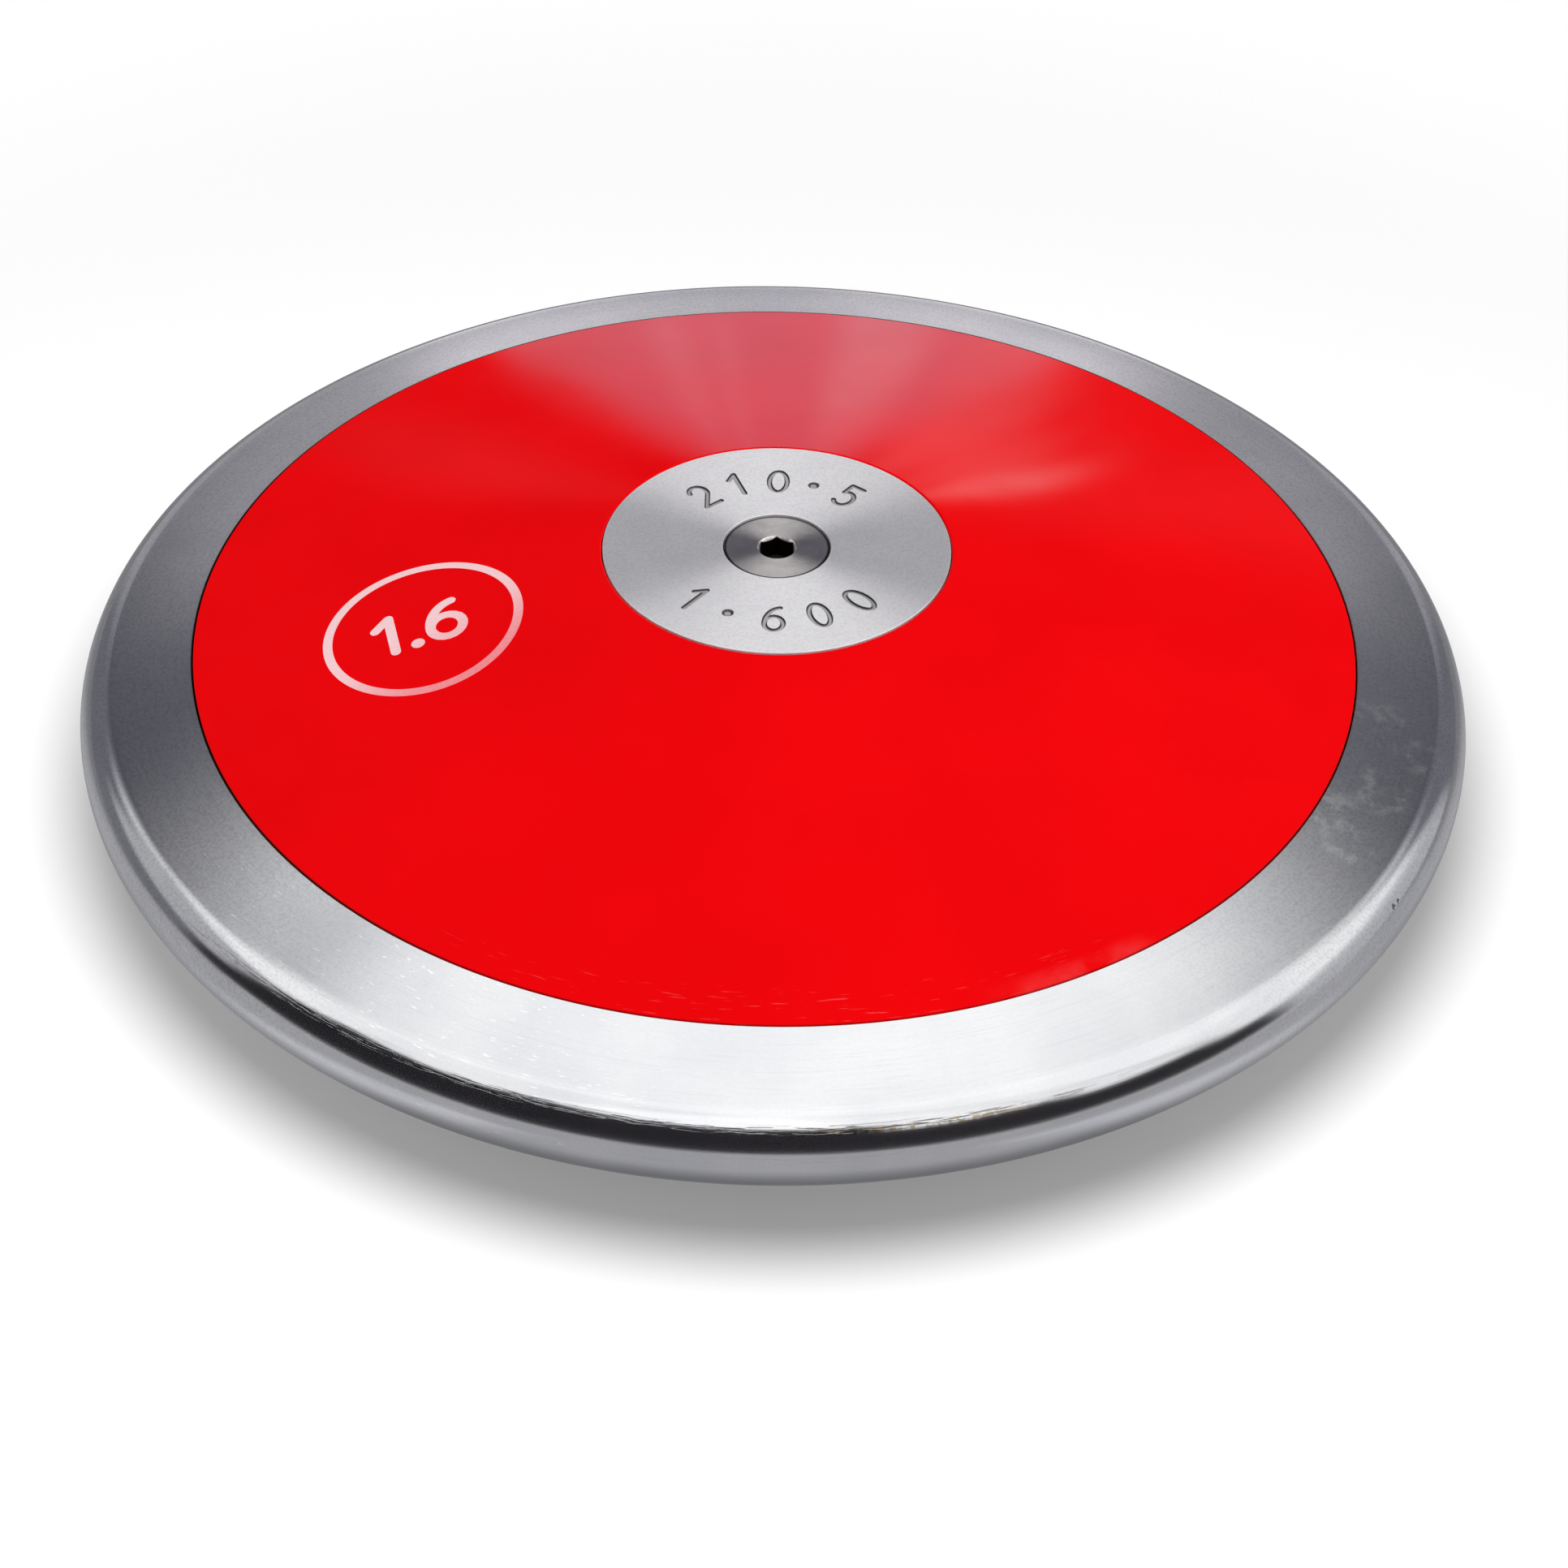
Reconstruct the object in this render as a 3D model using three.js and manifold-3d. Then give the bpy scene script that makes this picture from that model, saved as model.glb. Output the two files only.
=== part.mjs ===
// A 1.6 kg throwing discus as an assembly that comes apart: a turned steel rim, two ribbed side plates
// whose feet clamp the rim's tongue, two centre plates set flush, two countersunk socket screws, and
// the threaded hub, trim washers and packing rings hidden between the side plates.
// Millimetres, +Z up. The origin is the middle of the lower flat face, which the discus rests on.
// Each side is modelled once, above the middle plane, and the lower side is the same parts turned over.

import * as THREE from "three";
import { mergeVertices } from "three/addons/utils/BufferGeometryUtils.js";
import Module from "manifold-3d";

const wasm = await Module();
wasm.setup();

// Sizes that the rules of the sport set for a discus of this weight
const RIM_DIAMETER = 210.5;
const CENTRE_THICKNESS = 42.5;
const EDGE_RADIUS = 6.35;
const CENTRE_PLATE_DIAMETER = 52.2;

// Clearances
const FLAT_SEAT = 0.05;
const SEAM_CLEARANCE = 0.25;
const POCKET_CLEARANCE = 0.15;
const HUB_CLEARANCE = 0.3;
const THREAD_CLEARANCE = 0.1;
const SHANK_CLEARANCE = 0.5;
const HEAD_CLEARANCE = 0.2;
const SPIGOT_CLEARANCE = 0.2;
const STACK_CLEARANCE = 0.5;
const CUT_OVERRUN = 1;

// Rim: the steel band outside the side plates, and the tongue inside it
const RIM_BAND = 17.3;
const TONGUE_THICKNESS = 3.6;
const TONGUE_REACH = 6.5;
const TONGUE_CHAMFER = 0.5;

// Side plates
const SHELL = 3.2;
const FOOT_WIDTH = 5.2;
const POCKET_FLOOR = 3;
const BOSS_WALL = 3;
const BOSS_SKIRT = 4.5;
const RIB_COUNT = 12;
const RIB_THICKNESS = 2;
const RIB_DEPTH_AT_FOOT = 3.5;
const RING_RIB_THICKNESS = 2;

// Centre plates
const PLATE_LAND = 0.5;
const PLATE_CHAMFER = 0.3;

// Screws: M8 with a 90 degree countersunk head and a hexagon socket
const SCREW_DIAMETER = 8;
const SCREW_LENGTH = 16;
const SCREW_TIP_CHAMFER = 0.8;
const HEAD_DIAMETER = 15.8;
const HEAD_LAND = 0.5;
const HEAD_SUNK = 0.25;
const SOCKET_ACROSS_FLATS = 5;
const SOCKET_DEPTH = 3.4;
const SOCKET_POINT_DEPTH = 0.8;

// Hub and what is stacked round it
const HUB_DIAMETER = 24;
const SPIGOT_ACROSS_FLATS = 16;
const SPIGOT_SHORTFALL = 0.4;
const WASHER_COUNT = 3;
const WASHER_THICKNESS = 1;
const PACKING_WALL = 6;

// Facets round a full turn, and over each half of the rim's edge
const RIM_FACETS = 96;
const PLATE_FACETS = 48;
const SMALL_FACETS = 36;
const EDGE_FACETS = 6;
const HEXAGON = 6;

const RIM_RADIUS = RIM_DIAMETER / 2;
const HALF_THICKNESS = CENTRE_THICKNESS / 2;
const FLAT_RADIUS = CENTRE_PLATE_DIAMETER / 2;
const POCKET_RADIUS = FLAT_RADIUS + POCKET_CLEARANCE;
const BOSS_RADIUS = POCKET_RADIUS + BOSS_WALL;
const REBATE_RADIUS = RIM_RADIUS - RIM_BAND;
const SIDE_RADIUS = REBATE_RADIUS - SEAM_CLEARANCE;
const FOOT_INNER_RADIUS = SIDE_RADIUS - FOOT_WIDTH;

const HEAD_RADIUS = HEAD_DIAMETER / 2;
const SHANK_RADIUS = SCREW_DIAMETER / 2 - THREAD_CLEARANCE;
const BORE_RADIUS = SCREW_DIAMETER / 2 + THREAD_CLEARANCE;
const PLATE_HOLE_RADIUS = SCREW_DIAMETER / 2 + SHANK_CLEARANCE;
const SINK_RADIUS = HEAD_RADIUS + HEAD_CLEARANCE;
const SINK_SHOULDER = HALF_THICKNESS - HEAD_SUNK - HEAD_LAND - HEAD_CLEARANCE;
const SINK_FOOT = SINK_SHOULDER - (SINK_RADIUS - PLATE_HOLE_RADIUS);

const PLATE_UNDERSIDE = SINK_FOOT - PLATE_LAND;
const POCKET_HEIGHT = PLATE_UNDERSIDE - FLAT_SEAT;
const FLOOR_UNDERSIDE = POCKET_HEIGHT - POCKET_FLOOR;
const SKIRT_END = FLOOR_UNDERSIDE - BOSS_SKIRT;
const HUB_END = FLOOR_UNDERSIDE - FLAT_SEAT;
const HUB_RADIUS = HUB_DIAMETER / 2;
const HALF_TONGUE = TONGUE_THICKNESS / 2;
const FOOT_HEIGHT = HALF_TONGUE + FLAT_SEAT;

// The outer faces taper in a straight line from the flat centre to the round edge, which they touch
// at a tangent.
const EDGE_CENTRE = RIM_RADIUS - EDGE_RADIUS;
const CENTRE_TO_FLAT = Math.hypot(EDGE_CENTRE - FLAT_RADIUS, HALF_THICKNESS);
const TAPER =
  Math.atan2(HALF_THICKNESS, EDGE_CENTRE - FLAT_RADIUS) -
  Math.asin(EDGE_RADIUS / CENTRE_TO_FLAT);
const SHELL_DROP = SHELL / Math.cos(TAPER);

// Height of the tapered outer face above the middle plane, at a radius.
function faceHeight(radius) {
  return HALF_THICKNESS - (radius - FLAT_RADIUS) * Math.tan(TAPER);
}

// Height of the side plate's inner surface above the middle plane, at a radius.
function innerHeight(radius) {
  return faceHeight(radius) - SHELL_DROP;
}

// Height of the ribs' lower edges, which run straight from the boss's skirt to the foot.
function ribHeight(radius) {
  const footEnd = innerHeight(FOOT_INNER_RADIUS) - RIB_DEPTH_AT_FOOT;
  const share = (radius - BOSS_RADIUS) / (FOOT_INNER_RADIUS - BOSS_RADIUS);
  return THREE.MathUtils.lerp(SKIRT_END, footEnd, share);
}

// The radius of a hexagon's corners, from its size across flats.
function cornerRadius(acrossFlats) {
  return acrossFlats / Math.sqrt(3);
}

// Turns a profile of [radius, height] points about the Z axis. The points run outwards along the
// bottom, up the outside and back along the top, from axis to axis or round a closed loop.
function turned(profile, facets) {
  const points = profile.map(([radius, height]) => new THREE.Vector2(radius, height));
  return new THREE.LatheGeometry(points, facets).rotateX(Math.PI / 2);
}

// A ring turned from a closed loop of [radius, height] points.
function turnedRing(loop, facets) {
  return turned([...loop, loop[0]], facets);
}

// A plain ring between two radii and two heights.
function flatRing(inner, outer, bottom, top) {
  const loop = [[inner, bottom], [outer, bottom], [outer, top], [inner, top]];
  return turnedRing(loop, SMALL_FACETS);
}

// A round rod between two heights.
function rod(radius, bottom, top) {
  const profile = [[0, bottom], [radius, bottom], [radius, top], [0, top]];
  return turned(profile, SMALL_FACETS);
}

// An upright hexagonal prism between two heights, with a corner towards +Y.
function hexagonPrism(acrossFlats, bottom, top) {
  const radius = cornerRadius(acrossFlats);
  return new THREE.CylinderGeometry(radius, radius, top - bottom, HEXAGON)
    .rotateX(Math.PI / 2)
    .translate(0, 0, (bottom + top) / 2);
}

// A closed three.js geometry as a solid that can be joined and cut.
function solid(geometry) {
  const bare = geometry.index ? geometry.toNonIndexed() : geometry.clone();
  bare.deleteAttribute("normal");
  bare.deleteAttribute("uv");
  const merged = mergeVertices(bare);
  const vertProperties = merged.attributes.position.array;
  const triVerts = new Uint32Array(merged.index.array);
  return new wasm.Manifold(new wasm.Mesh({ numProp: 3, vertProperties, triVerts }));
}

// A joined or cut solid as a three.js geometry with flat facets.
function geometryOf(made) {
  const mesh = made.getMesh();
  const shared = new THREE.BufferGeometry();
  shared.setAttribute("position", new THREE.BufferAttribute(mesh.vertProperties, 3));
  shared.setIndex(new THREE.BufferAttribute(mesh.triVerts, 1));
  const flat = shared.toNonIndexed();
  flat.computeVertexNormals();
  return flat;
}

// Rim: round outer edge, tapered faces, a rebate on each side for a side plate, and the tongue that
// the two side plates clamp between them.
function rimGeometry() {
  const half = [];
  for (let i = 0; i <= EDGE_FACETS; i++) {
    const angle = (Math.PI / 2 - TAPER) * (i / EDGE_FACETS);
    const radius = EDGE_CENTRE + EDGE_RADIUS * Math.cos(angle);
    half.push([radius, EDGE_RADIUS * Math.sin(angle)]);
  }
  const tongueRadius = REBATE_RADIUS - TONGUE_REACH;
  half.push([REBATE_RADIUS, faceHeight(REBATE_RADIUS)]);
  half.push([REBATE_RADIUS, HALF_TONGUE]);
  half.push([tongueRadius + TONGUE_CHAMFER, HALF_TONGUE]);
  half.push([tongueRadius, HALF_TONGUE - TONGUE_CHAMFER]);
  const below = half.slice(1).reverse().map(([radius, height]) => [radius, -height]);
  return turnedRing([...below, ...half], RIM_FACETS);
}

// Side plate: a tapered shell with a foot round its edge, a pocket for the centre plate in a skirted
// boss, a ring rib half way out, and radial ribs. A hexagonal hole keys it to the hub.
function sidePlateGeometry() {
  const ringRadius = (BOSS_RADIUS + FOOT_INNER_RADIUS) / 2;
  const ringInner = ringRadius - RING_RIB_THICKNESS / 2;
  const ringOuter = ringRadius + RING_RIB_THICKNESS / 2;
  const shell = turned(
    [
      [0, FLOOR_UNDERSIDE],
      [POCKET_RADIUS, FLOOR_UNDERSIDE],
      [POCKET_RADIUS, SKIRT_END],
      [BOSS_RADIUS, SKIRT_END],
      [BOSS_RADIUS, innerHeight(BOSS_RADIUS)],
      [ringInner, innerHeight(ringInner)],
      [ringInner, ribHeight(ringInner)],
      [ringOuter, ribHeight(ringOuter)],
      [ringOuter, innerHeight(ringOuter)],
      [FOOT_INNER_RADIUS, innerHeight(FOOT_INNER_RADIUS)],
      [FOOT_INNER_RADIUS, FOOT_HEIGHT],
      [SIDE_RADIUS, FOOT_HEIGHT],
      [SIDE_RADIUS, faceHeight(SIDE_RADIUS)],
      [POCKET_RADIUS, faceHeight(POCKET_RADIUS)],
      [POCKET_RADIUS, POCKET_HEIGHT],
      [0, POCKET_HEIGHT],
    ],
    RIM_FACETS,
  );
  let plate = solid(shell);
  for (const rib of radialRibs()) plate = plate.add(solid(rib));
  const hole = hexagonPrism(
    SPIGOT_ACROSS_FLATS + 2 * SPIGOT_CLEARANCE,
    FLOOR_UNDERSIDE - CUT_OVERRUN,
    POCKET_HEIGHT + CUT_OVERRUN,
  );
  return geometryOf(plate.subtract(solid(hole)));
}

// The radial ribs of a side plate. Their upper edges and ends are buried in the shell, boss and foot.
function radialRibs() {
  const start = BOSS_RADIUS - BOSS_WALL / 2;
  const end = FOOT_INNER_RADIUS + FOOT_WIDTH / 2;
  const buried = SHELL / 2;
  const outline = new THREE.Shape([
    new THREE.Vector2(start, SKIRT_END),
    new THREE.Vector2(BOSS_RADIUS, SKIRT_END),
    new THREE.Vector2(FOOT_INNER_RADIUS, ribHeight(FOOT_INNER_RADIUS)),
    new THREE.Vector2(end, ribHeight(FOOT_INNER_RADIUS)),
    new THREE.Vector2(end, innerHeight(end) + buried),
    new THREE.Vector2(start, innerHeight(start) + buried),
  ]);
  const settings = { depth: RIB_THICKNESS, bevelEnabled: false };
  const ribs = [];
  for (let i = 0; i < RIB_COUNT; i++) {
    const rib = new THREE.ExtrudeGeometry(outline, settings)
      .translate(0, 0, -RIB_THICKNESS / 2)
      .rotateX(Math.PI / 2)
      .rotateZ((i * 2 * Math.PI) / RIB_COUNT);
    ribs.push(rib);
  }
  return ribs;
}

// Centre plate: a flat disc, flush with the side plate, countersunk for the screw.
function centrePlateGeometry() {
  const profile = [
    [PLATE_HOLE_RADIUS, PLATE_UNDERSIDE],
    [FLAT_RADIUS, PLATE_UNDERSIDE],
    [FLAT_RADIUS, HALF_THICKNESS - PLATE_CHAMFER],
    [FLAT_RADIUS - PLATE_CHAMFER, HALF_THICKNESS],
    [SINK_RADIUS, HALF_THICKNESS],
    [SINK_RADIUS, SINK_SHOULDER],
    [PLATE_HOLE_RADIUS, SINK_FOOT],
  ];
  return turnedRing(profile, PLATE_FACETS);
}

// Screw: countersunk head just under the plate's face, a hexagon socket with a drilled point, and a
// shank that reaches into the hub.
function screwGeometry() {
  const top = HALF_THICKNESS - HEAD_SUNK;
  const tip = top - SCREW_LENGTH;
  const coneTop = top - HEAD_LAND;
  const body = turned(
    [
      [0, tip],
      [SHANK_RADIUS - SCREW_TIP_CHAMFER, tip],
      [SHANK_RADIUS, tip + SCREW_TIP_CHAMFER],
      [SHANK_RADIUS, coneTop - (HEAD_RADIUS - SHANK_RADIUS)],
      [HEAD_RADIUS, coneTop],
      [HEAD_RADIUS, top],
      [0, top],
    ],
    SMALL_FACETS,
  );
  const socketFloor = top - SOCKET_DEPTH;
  const socketRadius = SOCKET_ACROSS_FLATS / 2;
  const socket = hexagonPrism(SOCKET_ACROSS_FLATS, socketFloor, top + CUT_OVERRUN);
  const point = turned(
    [
      [0, socketFloor - SOCKET_POINT_DEPTH],
      [socketRadius, socketFloor],
      [socketRadius, socketFloor + SOCKET_POINT_DEPTH],
      [0, socketFloor + SOCKET_POINT_DEPTH],
    ],
    SMALL_FACETS,
  );
  return geometryOf(solid(body).subtract(solid(socket)).subtract(solid(point)));
}

// Hub: a round barrel between the side plates' floors, with a hexagonal spigot at each end that keys
// into them, bored through for the two screws.
function hubGeometry() {
  const spigotEnd = HUB_END + POCKET_FLOOR - SPIGOT_SHORTFALL;
  const boreEnd = spigotEnd + CUT_OVERRUN;
  const barrel = rod(HUB_RADIUS, -HUB_END, HUB_END);
  const spigots = hexagonPrism(SPIGOT_ACROSS_FLATS, -spigotEnd, spigotEnd);
  const bore = rod(BORE_RADIUS, -boreEnd, boreEnd);
  return geometryOf(solid(barrel).add(solid(spigots)).subtract(solid(bore)));
}

// The heights of the undersides of the trim washers, a stack with its middle on the middle plane.
function washerHeights() {
  const step = WASHER_THICKNESS + FLAT_SEAT;
  const lowest = -(WASHER_COUNT * step - FLAT_SEAT) / 2;
  return Array.from({ length: WASHER_COUNT }, (_, i) => lowest + i * step);
}

// Trim washer, with its underside at a height: what brings the discus up to weight.
function washerGeometry(bottom) {
  const outer = POCKET_RADIUS - STACK_CLEARANCE;
  return flatRing(HUB_RADIUS + HUB_CLEARANCE, outer, bottom, bottom + WASHER_THICKNESS);
}

// Packing ring: fills the space from the trim washers to the side plate, so that nothing rattles.
function packingGeometry() {
  const stackTop = washerHeights()[WASHER_COUNT - 1] + WASHER_THICKNESS;
  const inner = HUB_RADIUS + HUB_CLEARANCE;
  return flatRing(inner, inner + PACKING_WALL, stackTop + FLAT_SEAT, HUB_END);
}

const RIM_STEEL = { color: 0xa9abb0, metalness: 1, roughness: 0.35 };
const RED_PLASTIC = { color: 0xe8070c, metalness: 0, roughness: 0.3 };
const TURNED_ALUMINIUM = { color: 0xd4d4d9, metalness: 1, roughness: 0.3 };
const SCREW_STEEL = { color: 0x8c847f, metalness: 1, roughness: 0.35 };
const ZINC_STEEL = { color: 0xb4b6b8, metalness: 1, roughness: 0.45 };
const BLACK_RUBBER = { color: 0x1c1c1e, metalness: 0, roughness: 0.9 };

function piece(name, geometry, finish) {
  const mesh = new THREE.Mesh(geometry, new THREE.MeshStandardMaterial(finish));
  mesh.name = name;
  return mesh;
}

// The parts that each side has, named for the side they are on.
function side(name) {
  const parts = new THREE.Group();
  parts.add(piece(`side_plate_${name}`, sidePlateGeometry(), RED_PLASTIC));
  parts.add(piece(`centre_plate_${name}`, centrePlateGeometry(), TURNED_ALUMINIUM));
  parts.add(piece(`centre_screw_${name}`, screwGeometry(), SCREW_STEEL));
  parts.add(piece(`packing_ring_${name}`, packingGeometry(), BLACK_RUBBER));
  return parts;
}

const discus = new THREE.Group();
discus.position.z = HALF_THICKNESS;
discus.add(piece("rim", rimGeometry(), RIM_STEEL));
discus.add(side("top"));
const underside = side("bottom");
underside.rotation.x = Math.PI;
discus.add(underside);
discus.add(piece("core_hub", hubGeometry(), ZINC_STEEL));
washerHeights().forEach((height, i) => {
  discus.add(piece(`trim_washer_${i + 1}`, washerGeometry(height), ZINC_STEEL));
});

export default discus;
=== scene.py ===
# The looks of a throwing discus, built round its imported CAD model.
# Metres, +Z up, in the CAD frame: the discus lies on the plane z = 0 with its axis on the Z axis.
# Profiles are drawn with heights measured from the middle plane, and each lower piece is its upper
# twin turned over.

import math
import random

import bmesh
import bpy
from mathutils import Matrix, Vector


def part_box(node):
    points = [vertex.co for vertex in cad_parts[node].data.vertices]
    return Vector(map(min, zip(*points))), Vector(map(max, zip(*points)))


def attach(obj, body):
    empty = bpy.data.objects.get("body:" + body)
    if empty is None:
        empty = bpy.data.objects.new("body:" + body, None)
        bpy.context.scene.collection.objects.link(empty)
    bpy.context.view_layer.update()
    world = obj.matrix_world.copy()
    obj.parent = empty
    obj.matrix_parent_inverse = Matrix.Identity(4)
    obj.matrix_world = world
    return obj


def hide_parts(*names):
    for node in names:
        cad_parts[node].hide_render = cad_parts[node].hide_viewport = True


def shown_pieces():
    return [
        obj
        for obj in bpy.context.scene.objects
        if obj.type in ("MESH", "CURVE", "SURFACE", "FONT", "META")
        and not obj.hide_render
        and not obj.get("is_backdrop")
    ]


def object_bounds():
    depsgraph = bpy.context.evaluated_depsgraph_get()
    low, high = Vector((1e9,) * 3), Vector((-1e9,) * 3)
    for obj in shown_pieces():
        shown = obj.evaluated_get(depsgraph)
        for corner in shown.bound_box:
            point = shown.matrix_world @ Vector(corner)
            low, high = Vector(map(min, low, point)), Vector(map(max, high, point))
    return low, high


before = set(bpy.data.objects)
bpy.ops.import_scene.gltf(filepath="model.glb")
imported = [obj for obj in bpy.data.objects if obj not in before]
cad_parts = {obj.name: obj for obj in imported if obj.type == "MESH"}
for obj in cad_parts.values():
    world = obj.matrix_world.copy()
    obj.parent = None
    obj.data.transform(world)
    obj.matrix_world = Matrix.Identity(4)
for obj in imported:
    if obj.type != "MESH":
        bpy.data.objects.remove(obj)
cad_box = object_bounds()

MM = 0.001

# Sizes read from the CAD model
HALF = cad_box[1].z / 2
RIM_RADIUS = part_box("rim")[1].x
SIDE_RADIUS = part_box("side_plate_top")[1].x
FLAT_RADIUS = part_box("centre_plate_top")[1].x
HEAD_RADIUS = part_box("centre_screw_top")[1].x
SCREW_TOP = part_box("centre_screw_top")[1].z - HALF
SCREW_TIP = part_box("centre_screw_top")[0].z - HALF
PLATE_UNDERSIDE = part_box("centre_plate_top")[0].z - HALF
SKIRT_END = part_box("side_plate_top")[0].z - HALF

# Sizes repeated from the CAD source
EDGE_RADIUS = 6.35 * MM
RIM_BAND = 17.3 * MM
TONGUE_HALF = 1.8 * MM
TONGUE_REACH = 6.5 * MM
TONGUE_CHAMFER = 0.5 * MM
FOOT_HEIGHT = 1.85 * MM
FOOT_WIDTH = 5.2 * MM
SHELL = 3.2 * MM
POCKET_CLEARANCE = 0.15 * MM
FLAT_SEAT = 0.05 * MM
POCKET_FLOOR = 3 * MM
BOSS_WALL = 3 * MM
RIB_COUNT = 12
RIB_THICKNESS = 2 * MM
RIB_DEPTH_AT_FOOT = 3.5 * MM
KEY_HOLE_ACROSS_FLATS = 16.4 * MM
SINK_RADIUS = 8.1 * MM
SINK_SHOULDER = 20.3 * MM
PLATE_HOLE_RADIUS = 4.5 * MM
SHANK_RADIUS = 3.9 * MM
HEAD_LAND = 0.5 * MM
TIP_CHAMFER = 0.8 * MM
SOCKET_ACROSS_FLATS = 5 * MM
SOCKET_DEPTH = 3.4 * MM
SOCKET_POINT = 0.8 * MM

# Small roundings that the CAD model leaves out
SEAM_ROUND = 0.1 * MM
MOULDED_ROUND = 0.12 * MM
INNER_ROUND = 0.3 * MM
TURNED_ROUND = 0.12 * MM
SOCKET_CHAMFER = 0.06 * MM
FACE_HOLLOW = 0.15 * MM
ROUND_STEPS = 5
EDGE_STEPS = 36
FACE_STEPS = 12

# Facets round a full turn
RIM_SEGMENTS = 720
PLATE_SEGMENTS = 480
SMALL_SEGMENTS = 240
CIRCLE_SEGMENTS = 180
HEXAGON = 6
SHARP_ANGLE = math.radians(28)

# Stamped figures in the upper centre plate, each with its angle round the plate in degrees
STAMP_HEIGHT = 5.4 * MM
STAMP_WIDTH_SHARE = 0.85
STAMP_HALF_WIDTH = 0.42 * MM
STAMP_HALF_FLOOR = 0.2 * MM
STAMP_DEPTH = 0.3 * MM
STAMP_SEED = 16
GROOVE_FACETS = 24
DOT_SHARE = 2.2
STAMP_TILT = math.radians(4)
STAMP_DRIFT = 0.18 * MM
UPPER_ARC_RADIUS = 17.1 * MM
LOWER_ARC_RADIUS = 18 * MM
UPPER_ARC = (("2", 132), ("1", 111), ("0", 90), (".", 71), ("5", 51))
LOWER_ARC = (("1", -131), (".", -113), ("6", -91), ("0", -69), ("0", -47))

# Finish of the rim: depths of marks, bands on the edge by their heights above the middle plane, then
# smears and dents, each a place with its reach
LINE_DEPTH = 0.004 * MM
NICK_DEPTH = 0.01 * MM
DENT_DEPTH = 0.2 * MM
POLISHED_HEIGHTS = (3.4 * MM, 4.6 * MM)
NICKED_HEIGHTS = (4.82 * MM, 5.33 * MM)
NICKED_SOFT = 0.25 * MM
RUSTED_HEIGHTS = (4.6 * MM, 5.1 * MM)
RUSTED_SOFT = 0.2 * MM
DARKER_PATCH_FADE = 1 * MM
SMEARS = (
    (89.7 * MM, -22.8 * MM, 29.1 * MM, 7 * MM),
    (86.9 * MM, -37.8 * MM, 28.6 * MM, 6 * MM),
    (79.1 * MM, -42.7 * MM, 29.6 * MM, 7 * MM),
    (80.6 * MM, -49 * MM, 28.7 * MM, 5 * MM),
    (94 * MM, -29.1 * MM, 27.8 * MM, 5 * MM),
)
DENTS = (
    (85.9 * MM, -58.3 * MM, 25.2 * MM, 0.45 * MM),
    (86.7 * MM, -57.1 * MM, 25.2 * MM, 0.35 * MM),
)

# Dirt along the seam, as shares of the rounding on each side of it. It is wiped off at the front and
# thinner on the right, in sectors of middle, half width and soft side in degrees. The front sector
# also thins the rim's dark lines and grain, which paints the front of its face lighter than its sides.
RIM_DIRT_SHARES = (0.3, 1.3)
PLASTIC_DIRT_SHARES = (1, 0.3)
WIPED_AND_LIGHTENED_SECTOR = (-88, 38, 16)
THIN_SECTOR = (-5, 50, 20)
THIN_SHARE = 0.4

# Finish of the other pieces: depths of grain and ripples, and where painted shade, scuffs, dust and wear
# lie
FACED_LINE_DEPTH = 0.003 * MM
GROOVE_WALL_SHARES = (0.9, 0.1)
RECESS_SHADE_DEPTHS = (0.6 * MM, 0.03 * MM)
HEAD_EDGE_SHADE_WIDTHS = (0.42 * MM, 0.16 * MM)
SCUFFED_WIDTH = 5 * MM
SCUFFED_SOFT = 1 * MM
DUSTED_WIDTH = 3 * MM
RIPPLE_DEPTH = 0.01 * MM
INK_DEPTH = 0.002 * MM
INK_WORN_TOWARDS = (0.6, -0.8, 0)
INK_WORN_PLACES = (-22 * MM, -5 * MM)
RUBBER_DEPTH = 0.02 * MM

# Printed ring on the upper side plate, with a plain number in it
PRINT_CENTRE = Vector((-51.9 * MM, -13.9 * MM))
PRINT_OUTER = 14.85 * MM
PRINT_INNER = 13.45 * MM
PRINT_PROUD = 0.02 * MM
PRINT_FIGURE = 8 * MM
PRINT_PLACE_SHARES = (("1", (-0.62, 0)), (".", (-0.16, -0.45)), ("6", (0.42, 0)))
PRINT_STROKE = 0.75 * MM
PRINT_DOT_SHARE = 1.35
PRINT_DICE = 1.3 * MM

# Camera
CAMERA_PLACE = Vector((0, -0.33793, 0.28592))
CAMERA_AIM = Vector((0.00164, -0.02999, 0.02125))
CAMERA_ROLL = math.radians(1.18)
LENS = 63.62
SENSOR = 36

# Suns, each with its azimuth, elevation, share of a plain light level, and spread. Azimuths, here and
# in the domes, are in degrees clockwise from +Y seen from above.
KEY_SUN = (130, 42, 0.4, 40)
SKY_SUN = (0, 90, 0.35, 175)
UNDERSIDE_SUN = (0, -90, 0.55, 60)
FLOOR_SUN = (0, 90, 0.2, 10)

# The world's share of a plain light level, and the floor
WORLD_SHARE = 0.25
FLOOR_RADIUS = 0.3
FLOOR_FADE = 0.16
FLOOR_GAP = 0.2 * MM
FLOOR_COLOURS = (0.9, 0.995)
FLOOR_MOTTLE_SCALE = 4
FLOOR_MOTTLE_SHARE = 0.01
FLOOR_LAMP_PLACE = Vector((-0.006, -0.153, 0.32))
FLOOR_LAMP_RADIUS = 0.094
FLOOR_LAMP_REACH = (0.02, 0.27)
FLOOR_LAMP_SHARE = 0.77
FLOOR_CARD_RADIUS = 3
FLOOR_CARD_HEIGHT = 1 * MM
FLOOR_CARD_RISE = (0.1, 0.13)
FLOOR_CARD_LEVELS = (0.2, 0.5)
FLOOR_CARD_FADE = (-0.02, 0.08)
FLOOR_CARD_FAR_SHARE = 0.55
FLOOR_CARD_SIDES = (0.06, 0.1)
FLOOR_CARD_SIDE_SOFT = 0.02
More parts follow.
